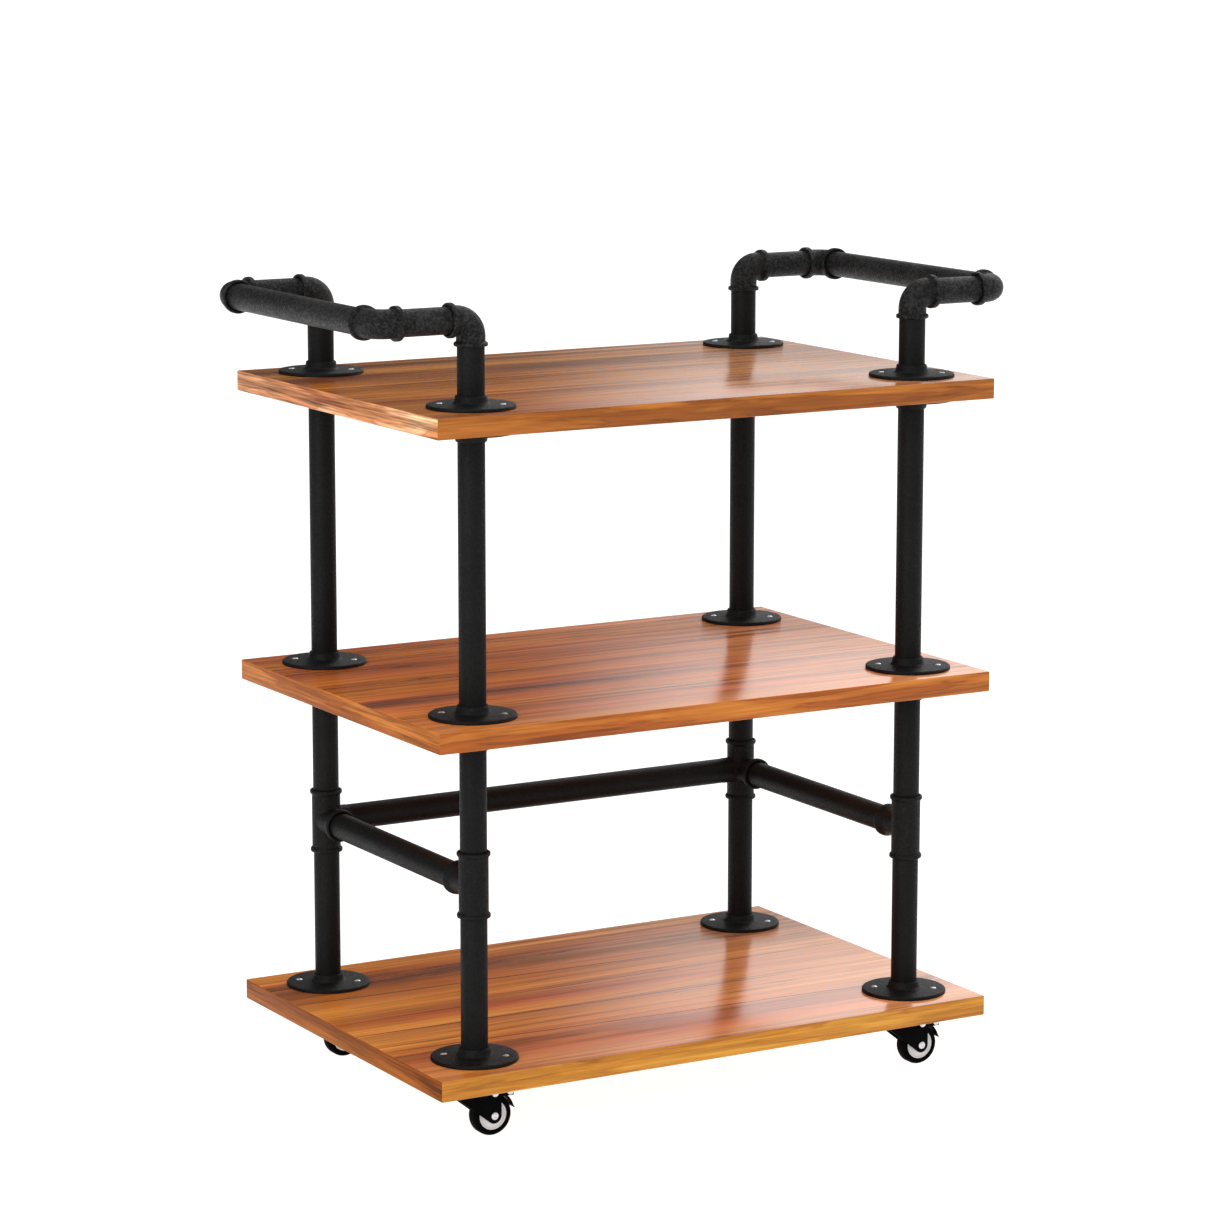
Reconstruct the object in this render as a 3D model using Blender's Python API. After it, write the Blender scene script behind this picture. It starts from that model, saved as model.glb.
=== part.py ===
"""A bar cart: three wooden shelves on black pipe posts, two pipe handles and four braked casters.

Lengths are in metres, +Z is up, the long side runs along X and the front faces -Y.
The origin is on the floor under the middle of the pipework.
"""

import math

import bmesh
import bpy
from mathutils import Matrix, Vector

MM = 0.001
GAP = 0.3 * MM  # clearance between two pieces that would touch
EASE = 0.8 * MM  # slope on the edges of turned pieces
OVERRUN = 1 * MM  # how far a cutter runs past what it cuts
SUNK = 0.5 * MM  # how far two joined shapes run into each other

# Shelves
SHELF_LENGTH = 634 * MM
SHELF_DEPTH = 441 * MM
SHELF_THICKNESS = 20.6 * MM
SHELF_EDGE = 1.2 * MM  # eased edge
SHELF_SHIFT_X = -2.8 * MM  # the boards overhang the pipework a little more on the left
SHELF_TOPS = {"bottom": 79.6 * MM, "middle": 421.2 * MM, "top": 722 * MM}

# Pipe, and the turned-down ends that enter the fittings
POST_X = 252.8 * MM
POST_Y = 161.9 * MM
PIPE_R = 13.35 * MM
BORE_R = 10.4 * MM
SPIGOT_R = 12 * MM
SOCKET_R = 12.3 * MM
SPIGOT_DEPTH = 8 * MM
SOCKET_DEPTH = 9 * MM

# Floor flanges
FLANGE_R = 43.5 * MM
FLANGE_RIM = 3.6 * MM
HUB_BASE_R = 17.4 * MM
HUB_TOP_R = 15.2 * MM
HUB_HEIGHT = 12 * MM
SCREW_CIRCLE_R = 30.6 * MM
SCREW_HOLE_R = 2.6 * MM
SCREW_ANGLE = math.radians(-35)  # of one of the two opposite screws, from +X
SEAT_DEPTH = 0.2 * MM  # the screws pull each floor flange a little way into the board
SEAT_R = FLANGE_R + GAP
FLANGE_LIFT = GAP - SEAT_DEPTH  # of a floor flange's underside above the board's top

# Tees
TEE_HEIGHT = 255 * MM
TEE_BODY_R = 14.8 * MM
BAND_R = 16.5 * MM
BAND_WIDTH = 6 * MM
TEE_RUN = 33 * MM  # from the middle to the end of the upright run
TEE_BRANCH = 36 * MM  # from the middle to the end of a branch
BRANCH_STEP = 0.15 * MM  # how much slimmer a branch is than the run, outside and inside
BACK_BRANCH = 24 * MM  # the same as TEE_BRANCH for the plain branches that take the back rail
BACK_BRANCH_R = 13.7 * MM

# Handles
HANDLE_HEIGHT = 806.5 * MM  # of the pipe's axis
BAR_X = 355 * MM  # of the bar's axis
ELBOW_BEND_R = 16 * MM
ELBOW_BODY_R = 14.1 * MM
ELBOW_BAND_R = 16.9 * MM
ELBOW_END = 25.5 * MM  # from where the two axes meet to the end of a mouth
ELBOW_STEPS = (22.5, 45, 67.5)  # degrees round the bend

# Casters
CASTER_TRAIL = 16.6 * MM  # from the swivel axis back to the wheel's axle
WHEEL_FLAT_R = 21 * MM  # from the axle to the middle of a facet, on which the wheel stands
WHEEL_WIDTH = 15.2 * MM
TYRE_WALL = 4.6 * MM
TYRE_SHOULDER = 2 * MM
WEB_DISH = 2.2 * MM
WHEEL_HUB_R = 6 * MM
WHEEL_HUB_WIDTH = 16.4 * MM
AXLE_R = 2.5 * MM
AXLE_HOLE_R = 2.9 * MM
AXLE_HEAD_R = 4 * MM
AXLE_HEAD = 1.8 * MM
PLATE_SIDE = 50 * MM
PLATE_THICKNESS = 2.2 * MM
PLATE_HOLE_R = 2.6 * MM
PLATE_HOLE_OFFSET = 19 * MM
RACE_R = 16 * MM
RACE_DEPTH = 4.6 * MM  # below the plate
KINGPIN_R = 4 * MM
KINGPIN_HOLE_R = 4.4 * MM
KINGPIN_HEAD_R = 6.5 * MM
KINGPIN_HEAD = 2 * MM
FORK_SHEET = 1.8 * MM
FORK_INNER_Y = 8.6 * MM
FORK_FRONT_X = -28 * MM  # from the swivel axis
FORK_FRONT_DROP = 6 * MM  # height of the upright front edge, before the leg slopes to the axle
FORK_END_R = 8 * MM  # round the axle
FORK_END_STEPS = (225, 260, 295, 330, 360)  # degrees round the axle
LEVER_PIN_R = 1.7 * MM
LEVER_HOLE_R = 2.15 * MM
LEVER_PIN_ABOVE_AXLE = 23.4 * MM
LEVER_SHEET = 1.5 * MM
LEVER_TOP = 4.2 * MM  # of a cheek, above its pin
LEVER_BOTTOM = 2.6 * MM  # of a cheek, below its pin
LEVER_FRONT = -5 * MM
LEVER_BACK = 20.5 * MM
PEDAL_OUTER_R = 24.2 * MM  # round the axle
PEDAL_THICKNESS = 1.5 * MM
PEDAL_HALF_WIDTH = 6.5 * MM
PEDAL_FROM = math.radians(78)
PEDAL_TO = math.radians(11)
PEDAL_STEPS = 5
BRIDGE_FRONT = 1.5 * MM  # behind the legs
BRIDGE_BOTTOM = 1.6 * MM  # below the pin
BRIDGE_TOP = 1.2 * MM  # above the pin

SEGMENTS = 16
WHEEL_SEGMENTS = 20
PIN_SEGMENTS = 12
HOLE_SEGMENTS = 6
SHARP_ANGLE = math.radians(35)  # edges bent more than this stay sharp
CORNERS = {
    "front_left": (-1, -1),
    "front_right": (1, -1),
    "back_left": (-1, 1),
    "back_right": (1, 1),
}

X = Vector((1, 0, 0))
Y = Vector((0, 1, 0))
Z = Vector((0, 0, 1))


def make_material(name, colour, roughness, metallic):
    """A Principled material of one colour."""
    material = bpy.data.materials.new(name)
    material.use_nodes = True
    shader = material.node_tree.nodes["Principled BSDF"]
    shader.inputs["Base Color"].default_value = (*colour, 1)
    shader.inputs["Roughness"].default_value = roughness
    shader.inputs["Metallic"].default_value = metallic
    material.diffuse_color = (*colour, 1)
    return material


def make_object(name, bm, material, smooth=True, origin=None):
    """An object from a bmesh drawn in world space; the origin is the point its joint turns it about."""
    bmesh.ops.recalc_face_normals(bm, faces=bm.faces)
    mesh = bpy.data.meshes.new(name)
    bm.to_mesh(mesh)
    bm.free()
    mesh.materials.append(material)
    obj = bpy.data.objects.new(name, mesh)
    bpy.context.scene.collection.objects.link(obj)
    if origin is not None:
        mesh.transform(Matrix.Translation(-origin))
        obj.location = origin
    if smooth:
        mesh.shade_smooth()
        mesh.set_sharp_from_angle(angle=SHARP_ANGLE)
    return obj


def add_rings(bm, rings, across, segments=SEGMENTS, closed=True, turn=0.5):
    """Joins rings (centre, axis, radius) one after another; across is square to every axis.

    A closed run joins the last ring to the first, as round a tube's wall. An open one gets end caps.
    """
    loops = []
    for centre, axis, radius in rings:
        side = axis.cross(across)
        loop = []
        for i in range(segments):
            angle = (i + turn) * 2 * math.pi / segments
            offset = across * math.cos(angle) + side * math.sin(angle)
            loop.append(bm.verts.new(centre + offset * radius))
        loops.append(loop)
    pairs = list(zip(loops, loops[1:]))
    if closed:
        pairs.append((loops[-1], loops[0]))
    else:
        bm.faces.new(loops[0][::-1])
        bm.faces.new(loops[-1])
    for first, second in pairs:
        for i in range(segments):
            j = (i + 1) % segments
            bm.faces.new((first[i], first[j], second[j], second[i]))


def make_turned(name, base, axis, across, profile, material, **options):
    """A turned piece: the profile lists (distance along the axis, radius)."""
    bm = bmesh.new()
    rings = [(base + axis * distance, axis, radius) for distance, radius in profile]
    origin = options.pop("origin", None)
    add_rings(bm, rings, across, **options)
    return make_object(name, bm, material, origin=origin)


def add_box(bm, low, high):
    """A box between two corners."""
    made = bmesh.ops.create_cube(bm, size=1)["verts"]
    middle = (low + high) / 2
    size = high - low
    for vert in made:
        vert.co = middle + Vector(vert.co[i] * size[i] for i in range(3))
    return made


def add_slab(bm, outline, low_y, high_y):
    """An outline of (x, z) points, swept from low_y to high_y."""
    front = [bm.verts.new((x, low_y, z)) for x, z in outline]
    face = bm.faces.new(front)
    swept = bmesh.ops.extrude_face_region(bm, geom=[face])["geom"]
    moved = [item for item in swept if isinstance(item, bmesh.types.BMVert)]
    bmesh.ops.translate(bm, verts=moved, vec=(0, high_y - low_y, 0))


def use_boolean(obj, tool, operation):
    """Joins a hidden tool to the object, or cuts it away."""
    modifier = obj.modifiers.new(tool.name, "BOOLEAN")
    modifier.operation = operation
    modifier.solver = "EXACT"
    modifier.object = tool


def hide_tool(tool):
    """Keeps a tool of the Booleans out of the finished object."""
    tool.hide_render = True
    tool.display_type = "WIRE"
    return tool


def make_shelf(name, top, seats, material):
    """A board with eased edges and a shallow seat under each floor flange."""
    bm = bmesh.new()
    half = Vector((SHELF_LENGTH / 2, SHELF_DEPTH / 2, 0))
    middle = X * SHELF_SHIFT_X
    add_box(bm, middle - half + Z * (top - SHELF_THICKNESS), middle + half + Z * top)
    bmesh.ops.bevel(
        bm,
        geom=bm.edges[:],
        offset=SHELF_EDGE,
        affect="EDGES",
        segments=1,
        profile=0.5,
        material=-1,
    )
    board = make_object(name, bm, material, smooth=False)
    use_boolean(board, seats, "DIFFERENCE")


def make_seat_tool(material):
    """A disc for every seat, from its floor to above the board."""
    bm = bmesh.new()
    for top in SHELF_TOPS.values():
        for side_x, side_y in CORNERS.values():
            centre = Vector((side_x * POST_X, side_y * POST_Y, top))
            rings = [(centre + Z * z, Z, SEAT_R) for z in (-SEAT_DEPTH, OVERRUN)]
            add_rings(bm, rings, X, closed=False)
    return hide_tool(make_object("tool_seats", bm, material, smooth=False))


def make_screw_hole_tool(material):
    """Upright rods through every floor flange's screw holes."""
    bm = bmesh.new()
    low = SHELF_TOPS["bottom"] - OVERRUN
    high = SHELF_TOPS["top"] + HUB_HEIGHT + FLANGE_RIM
    for side_x, side_y in CORNERS.values():
        for angle in (SCREW_ANGLE, SCREW_ANGLE + math.pi):
            centre = Vector(
                (
                    side_x * POST_X + SCREW_CIRCLE_R * math.cos(angle),
                    side_y * POST_Y + SCREW_CIRCLE_R * math.sin(angle),
                    0,
                )
            )
            rings = [(centre + Z * z, Z, SCREW_HOLE_R) for z in (low, high)]
            add_rings(bm, rings, X, HOLE_SEGMENTS, closed=False)
    return hide_tool(make_object("tool_screw_holes", bm, material, smooth=False))


def make_flange(name, corner, top, screw_holes, material):
    """A floor flange standing on a shelf, with a hub that takes the end of the pipe above."""
    base = Vector((corner[0] * POST_X, corner[1] * POST_Y, top + FLANGE_LIFT))
    profile = [
        (0, BORE_R),
        (0, FLANGE_R),
        (FLANGE_RIM, FLANGE_R - EASE),
        (FLANGE_RIM, HUB_BASE_R),
        (HUB_HEIGHT, HUB_TOP_R),
        (HUB_HEIGHT, SOCKET_R),
        (HUB_HEIGHT - SOCKET_DEPTH, SOCKET_R),
        (HUB_HEIGHT - SOCKET_DEPTH, BORE_R),
    ]
    flange = make_turned(name, base, Z, X, profile, material)
    use_boolean(flange, screw_holes, "DIFFERENCE")


def make_post(name, corner, low, high, flanged, material):
    """An upright pipe from one fitting's end to the next; a flanged one ends under a shelf."""
    base = Vector((corner[0] * POST_X, corner[1] * POST_Y, low + GAP))
    length = high - low - 2 * GAP
    lower_end = [
        (-SPIGOT_DEPTH, BORE_R),
        (-SPIGOT_DEPTH, SPIGOT_R),
        (0, SPIGOT_R),
        (0, PIPE_R),
    ]
    if flanged:
        upper_end = [
            (length - HUB_HEIGHT, PIPE_R),
            (length - HUB_HEIGHT, HUB_TOP_R),
            (length - FLANGE_RIM, HUB_BASE_R),
            (length - FLANGE_RIM, FLANGE_R - EASE),
            (length, FLANGE_R),
            (length, BORE_R),
        ]
    else:
        upper_end = [
            (length, PIPE_R),
            (length, SPIGOT_R),
            (length + SPIGOT_DEPTH, SPIGOT_R),
            (length + SPIGOT_DEPTH, BORE_R),
        ]
    make_turned(name, base, Z, X, lower_end + upper_end, material)


def fitting_outside(reach, band_r, body_r):
    """Half a fitting's outline from its middle to its mouth: the body, then the band round the mouth."""
    return [
        (0, body_r),
        (reach - BAND_WIDTH, body_r),
        (reach - BAND_WIDTH + EASE, band_r),
        (reach, band_r),
    ]


def make_tee(name, corner, branches, material):
    """A tee on a post: an upright run, and branches that take the rails.

    Each branch is (axis, distance to its mouth, whether it has a band); one with no band is a plain stub.
    """
    middle = Vector((corner[0] * POST_X, corner[1] * POST_Y, TEE_HEIGHT))
    half = fitting_outside(TEE_RUN, BAND_R, TEE_BODY_R)[1:]
    profile = [(-d, r) for d, r in reversed(half)] + half
    tee = make_turned(name, middle, Z, X, profile, material, closed=False)
    for axis, reach, banded in branches:
        outside = [(0, BACK_BRANCH_R), (reach, BACK_BRANCH_R)]
        if banded:
            outside = fitting_outside(reach, BAND_R, TEE_BODY_R - BRANCH_STEP)
        tool = make_turned(
            f"tool_{name}_branch_{len(tee.modifiers)}", middle, axis, Z, outside, material, closed=False
        )
        use_boolean(tee, hide_tool(tool), "UNION")
    bores = [(Z, -TEE_RUN, TEE_RUN)] + [(axis, 0, reach) for axis, reach, banded in branches]
    for axis, start, end in bores:
        inside = [
            (end - SOCKET_DEPTH, BORE_R),
            (end - SOCKET_DEPTH, SOCKET_R),
            (end + OVERRUN, SOCKET_R),
        ]
        if start:
            inside = [
                (start - OVERRUN, SOCKET_R),
                (start + SOCKET_DEPTH, SOCKET_R),
                (start + SOCKET_DEPTH, BORE_R),
            ] + inside
        else:
            inside = [(0, BORE_R - BRANCH_STEP)] + inside
        across = X if axis == Z else Z
        tool = make_turned(
            f"tool_{name}_bore_{len(tee.modifiers)}", middle, axis, across, inside, material, closed=False
        )
        use_boolean(tee, hide_tool(tool), "DIFFERENCE")


def make_pipe(name, start, end, material):
    """A level pipe between two mouths, with a turned-down end in each."""
    axis = (end - start).normalized()
    length = (end - start).length - 2 * GAP
    profile = [
        (-SPIGOT_DEPTH, BORE_R),
        (-SPIGOT_DEPTH, SPIGOT_R),
        (0, SPIGOT_R),
        (0, PIPE_R),
        (length, PIPE_R),
        (length, SPIGOT_R),
        (length + SPIGOT_DEPTH, SPIGOT_R),
        (length + SPIGOT_DEPTH, BORE_R),
    ]
    make_turned(name, start + axis * GAP, axis, Z, profile, material)


def make_elbow(name, corner, way_in, way_out, pipe_length, material):
    """A pipe with an elbow on its end: it comes in along way_in, turns at corner and opens along way_out."""
    bend = ELBOW_BEND_R
    centre = corner - way_in * bend + way_out * bend

    def before(distance, radius):
        return (corner - way_in * distance, way_in, radius)

    def after(distance, radius):
        return (corner + way_out * distance, way_out, radius)

    def round_bend(degrees, radius):
        angle = math.radians(degrees)
        axis = way_in * math.cos(angle) + way_out * math.sin(angle)
        point = centre + (way_in * math.sin(angle) - way_out * math.cos(angle)) * bend
        return (point, axis, radius)

    pipe_start = ELBOW_END + pipe_length - GAP
    band = ELBOW_END - BAND_WIDTH
    rings = [
        before(pipe_start + SPIGOT_DEPTH, SPIGOT_R),
        before(pipe_start, SPIGOT_R),
        before(pipe_start, PIPE_R),
        before(ELBOW_END, PIPE_R),
        before(ELBOW_END, ELBOW_BAND_R),
        before(band + EASE, ELBOW_BAND_R),
        before(band, ELBOW_BODY_R),
        *[round_bend(degrees, ELBOW_BODY_R) for degrees in ELBOW_STEPS],
        after(band, ELBOW_BODY_R),
        after(band + EASE, ELBOW_BAND_R),
        after(ELBOW_END, ELBOW_BAND_R),
        after(ELBOW_END, SOCKET_R),
        after(ELBOW_END - SOCKET_DEPTH, SOCKET_R),
        after(ELBOW_END - SOCKET_DEPTH, BORE_R),
        round_bend(ELBOW_STEPS[1], BORE_R),
        before(bend, BORE_R),
        before(pipe_start + SPIGOT_DEPTH, BORE_R),
    ]
    bm = bmesh.new()
    add_rings(bm, rings, way_in.cross(way_out))
    make_object(name, bm, material)


def make_caster_plate(name, swivel, material):
    """The plate under the shelf, its ball race and the kingpin that carries the fork."""
    bm = bmesh.new()
    half = Vector((PLATE_SIDE / 2, PLATE_SIDE / 2, 0))
    plate_top = -GAP
    plate_bottom = plate_top - PLATE_THICKNESS
    add_box(bm, swivel - half + Z * plate_bottom, swivel + half + Z * plate_top)
    plate = make_object(name, bm, material, smooth=False)
    race_bottom = plate_bottom - RACE_DEPTH
    web_bottom = race_bottom - GAP - FORK_SHEET
    head_top = web_bottom - GAP
    turned = [
        (plate_top - SUNK, RACE_R),
        (race_bottom, RACE_R - EASE),
        (race_bottom, KINGPIN_R),
        (head_top, KINGPIN_R),
        (head_top, KINGPIN_HEAD_R),
        (head_top - KINGPIN_HEAD, KINGPIN_HEAD_R - EASE),
    ]
    tool = make_turned(
        f"tool_{name}_kingpin", swivel, Z, X, turned, material, closed=False, segments=PIN_SEGMENTS
    )
    use_boolean(plate, hide_tool(tool), "UNION")
    bm = bmesh.new()
    for side_x in (-1, 1):
        for side_y in (-1, 1):
            centre = swivel + Vector((side_x, side_y, 0)) * PLATE_HOLE_OFFSET
            ends = (plate_bottom - OVERRUN, plate_top + OVERRUN)
            rings = [(centre + Z * z, Z, PLATE_HOLE_R) for z in ends]
            add_rings(bm, rings, X, HOLE_SEGMENTS, closed=False)
    holes = hide_tool(make_object(f"tool_{name}_holes", bm, material, smooth=False))
    use_boolean(plate, holes, "DIFFERENCE")


def fork_outline(axle, web_top):
    """The side view of the fork, from its front edge round the axle to its back edge."""
    swivel_x = axle.x - CASTER_TRAIL
    points = [
        (swivel_x + FORK_FRONT_X, web_top),
        (swivel_x + FORK_FRONT_X, web_top - FORK_FRONT_DROP),
    ]
    for degrees in FORK_END_STEPS:
        angle = math.radians(degrees)
        points.append((axle.x + FORK_END_R * math.cos(angle), axle.z + FORK_END_R * math.sin(angle)))
    points.append((axle.x + FORK_END_R, web_top))
    return points


def make_fork(name, swivel, axle, web_top, material):
    """A folded sheet fork: a web under the ball race, two legs and the axle between them."""
    outer_y = FORK_INNER_Y + FORK_SHEET
    bm = bmesh.new()
    add_slab(bm, fork_outline(axle, web_top), swivel.y - outer_y, swivel.y + outer_y)
    fork = make_object(name, bm, material, smooth=False, origin=swivel + Z * (web_top - swivel.z))
    bm = bmesh.new()
    reach = Vector((PLATE_SIDE, FORK_INNER_Y, 0))
    low = swivel - reach + Z * -swivel.z
    high = swivel + reach + Z * (web_top - FORK_SHEET - swivel.z)
    add_box(bm, low, high)
    use_boolean(fork, hide_tool(make_object(f"tool_{name}_well", bm, material, smooth=False)), "DIFFERENCE")
    rod = [
        (-outer_y - AXLE_HEAD, AXLE_HEAD_R - EASE),
        (-outer_y + SUNK, AXLE_HEAD_R),
        (-outer_y + SUNK, AXLE_R),
        (outer_y - SUNK, AXLE_R),
        (outer_y - SUNK, AXLE_HEAD_R),
        (outer_y + AXLE_HEAD, AXLE_HEAD_R - EASE),
    ]
    tool = make_turned(f"tool_{name}_axle", axle, Y, Z, rod, material, closed=False, segments=PIN_SEGMENTS)
    use_boolean(fork, hide_tool(tool), "UNION")
    bm = bmesh.new()
    ends = (web_top - FORK_SHEET - OVERRUN, web_top + OVERRUN)
    rings = [(swivel + Z * (z - swivel.z), Z, KINGPIN_HOLE_R) for z in ends]
    add_rings(bm, rings, X, PIN_SEGMENTS, closed=False)
    pin = axle + Z * LEVER_PIN_ABOVE_AXLE
    rings = [(pin + Y * y, Y, LEVER_HOLE_R) for y in (-outer_y - OVERRUN, outer_y + OVERRUN)]
    add_rings(bm, rings, Z, PIN_SEGMENTS, closed=False)
    use_boolean(fork, hide_tool(make_object(f"tool_{name}_holes", bm, material, smooth=False)), "DIFFERENCE")


def make_wheel(name, axle, material):
    """A wheel turned round its axle, with a dished web each side; it stands on a flat facet."""
    round_r = WHEEL_FLAT_R / math.cos(math.pi / WHEEL_SEGMENTS)
    half = WHEEL_WIDTH / 2
    hub = WHEEL_HUB_WIDTH / 2
    side = [
        (hub, AXLE_HOLE_R),
        (hub, WHEEL_HUB_R),
        (half - WEB_DISH, WHEEL_HUB_R),
        (half - WEB_DISH, round_r - TYRE_WALL),
        (half, round_r - TYRE_WALL),
        (half, round_r - TYRE_SHOULDER),
        (half - TYRE_SHOULDER, round_r),
    ]
    profile = side + [(-y, r) for y, r in reversed(side)]
    make_turned(name, axle, Y, Z, profile, material, segments=WHEEL_SEGMENTS, origin=axle)


def make_brake(name, axle, material):
    """The brake lever: a cheek outside each leg, the pin they turn on and the pedal over the tyre."""
    pin = axle + Z * LEVER_PIN_ABOVE_AXLE
    inner_y = FORK_INNER_Y + FORK_SHEET + GAP
    outer_y = inner_y + LEVER_SHEET
    inner_r = PEDAL_OUTER_R - PEDAL_THICKNESS
    angles = [PEDAL_FROM + (PEDAL_TO - PEDAL_FROM) * i / PEDAL_STEPS for i in range(PEDAL_STEPS + 1)]
    outer = [(axle.x + PEDAL_OUTER_R * math.cos(a), axle.z + PEDAL_OUTER_R * math.sin(a)) for a in angles]
    inner = [(axle.x + inner_r * math.cos(a), axle.z + inner_r * math.sin(a)) for a in angles]
    bm = bmesh.new()
    add_slab(bm, outer + inner[::-1], axle.y - PEDAL_HALF_WIDTH, axle.y + PEDAL_HALF_WIDTH)
    brake = make_object(name, bm, material, smooth=False, origin=pin)
    bm = bmesh.new()
    for side in (-1, 1):
        ends = sorted((side * inner_y, side * outer_y))
        low = Vector((axle.x + LEVER_FRONT, axle.y + ends[0], pin.z - LEVER_BOTTOM))
        high = Vector((axle.x + LEVER_BACK, axle.y + ends[1], pin.z + LEVER_TOP))
        add_box(bm, low, high)
    use_boolean(brake, hide_tool(make_object(f"tool_{name}_cheeks", bm, material, smooth=False)), "UNION")
    bm = bmesh.new()
    add_box(
        bm,
        Vector((axle.x + FORK_END_R + BRIDGE_FRONT, axle.y - outer_y + SUNK, pin.z - BRIDGE_BOTTOM)),
        Vector((axle.x + LEVER_BACK - SUNK, axle.y + outer_y - SUNK, pin.z + BRIDGE_TOP)),
    )
    rings = [(pin + Y * y, Y, LEVER_PIN_R) for y in (-outer_y + SUNK, outer_y - SUNK)]
    add_rings(bm, rings, Z, PIN_SEGMENTS, closed=False)
    use_boolean(brake, hide_tool(make_object(f"tool_{name}_bridge", bm, material, smooth=False)), "UNION")


def build_cart():
    """Makes every piece of the cart."""
    wood = make_material("lacquered_wood", (0.42, 0.16, 0.055), 0.28, 0)
    pipe = make_material("black_pipe", (0.018, 0.018, 0.019), 0.5, 0.4)
    black_steel = make_material("black_steel", (0.012, 0.012, 0.013), 0.42, 0.5)
    tyre = make_material("black_tyre", (0.02, 0.02, 0.02), 0.6, 0)
    seats = make_seat_tool(wood)
    for level, top in SHELF_TOPS.items():
        make_shelf(f"{level}_shelf", top, seats, wood)
    screw_holes = make_screw_hole_tool(pipe)
    hub_tops = {level: top + FLANGE_LIFT + HUB_HEIGHT for level, top in SHELF_TOPS.items()}
    undersides = {level: top - SHELF_THICKNESS for level, top in SHELF_TOPS.items()}
    for where, corner in CORNERS.items():
        side_x, side_y = corner
        for level, top in SHELF_TOPS.items():
            make_flange(f"{level}_flange_{where}", corner, top, screw_holes, pipe)
        make_post(f"lower_post_{where}", corner, hub_tops["bottom"], TEE_HEIGHT - TEE_RUN, False, pipe)
        make_post(f"middle_post_{where}", corner, TEE_HEIGHT + TEE_RUN, undersides["middle"], True, pipe)
        make_post(f"upper_post_{where}", corner, hub_tops["middle"], undersides["top"], True, pipe)
        branches = [(Y * -side_y, TEE_BRANCH, True)]
        if side_y > 0:
            branches.append((X * -side_x, BACK_BRANCH, False))
        make_tee(f"tee_{where}", corner, branches, pipe)
        riser_top = Vector((side_x * POST_X, side_y * POST_Y, HANDLE_HEIGHT))
        riser_length = HANDLE_HEIGHT - ELBOW_END - hub_tops["top"]
        make_elbow(f"handle_riser_{where}", riser_top, Z, X * side_x, riser_length, pipe)
        bar_corner = Vector((side_x * BAR_X, side_y * POST_Y, HANDLE_HEIGHT))
        stub_length = BAR_X - POST_X - 2 * ELBOW_END
        make_elbow(f"handle_corner_{where}", bar_corner, X * side_x, Y * -side_y, stub_length, pipe)
        swivel = Vector((side_x * POST_X, side_y * POST_Y, undersides["bottom"]))
        axle = Vector((swivel.x + CASTER_TRAIL, swivel.y, WHEEL_FLAT_R))
        web_top = swivel.z - 2 * GAP - PLATE_THICKNESS - RACE_DEPTH
        make_caster_plate(f"caster_plate_{where}", swivel, black_steel)
        make_fork(f"caster_fork_{where}", swivel, axle, web_top, black_steel)
        make_wheel(f"caster_wheel_{where}", axle, tyre)
        make_brake(f"caster_brake_{where}", axle, black_steel)
    rail_y = POST_Y - TEE_BRANCH
    for side, name in ((-1, "left"), (1, "right")):
        start = Vector((side * POST_X, -rail_y, TEE_HEIGHT))
        end = Vector((side * POST_X, rail_y, TEE_HEIGHT))
        make_pipe(f"{name}_rail", start, end, pipe)
        bar_y = POST_Y - ELBOW_END
        start = Vector((side * BAR_X, -bar_y, HANDLE_HEIGHT))
        end = Vector((side * BAR_X, bar_y, HANDLE_HEIGHT))
        make_pipe(f"{name}_handle_bar", start, end, pipe)
    rail_x = POST_X - BACK_BRANCH
    start = Vector((-rail_x, POST_Y, TEE_HEIGHT))
    end = Vector((rail_x, POST_Y, TEE_HEIGHT))
    make_pipe("back_rail", start, end, pipe)


for old in list(bpy.data.objects):
    bpy.data.objects.remove(old)
build_cart()
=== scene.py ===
# %% [markdown]
# # A bar cart of lacquered boards and black iron pipe
# The cart has three wooden boards, four posts of threaded pipe with floor flanges and tees, a pipe handle
# over each end, and four small casters with brakes. The CAD model already holds every piece at its real
# size and place, but its round pieces are coarse and its colours plain. This lesson remakes each piece
# finely, in the place that the CAD gives, and then gives it its finish.

# %% Load the CAD model
import math

import bmesh
import bpy
from mathutils import Matrix, Vector


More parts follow.
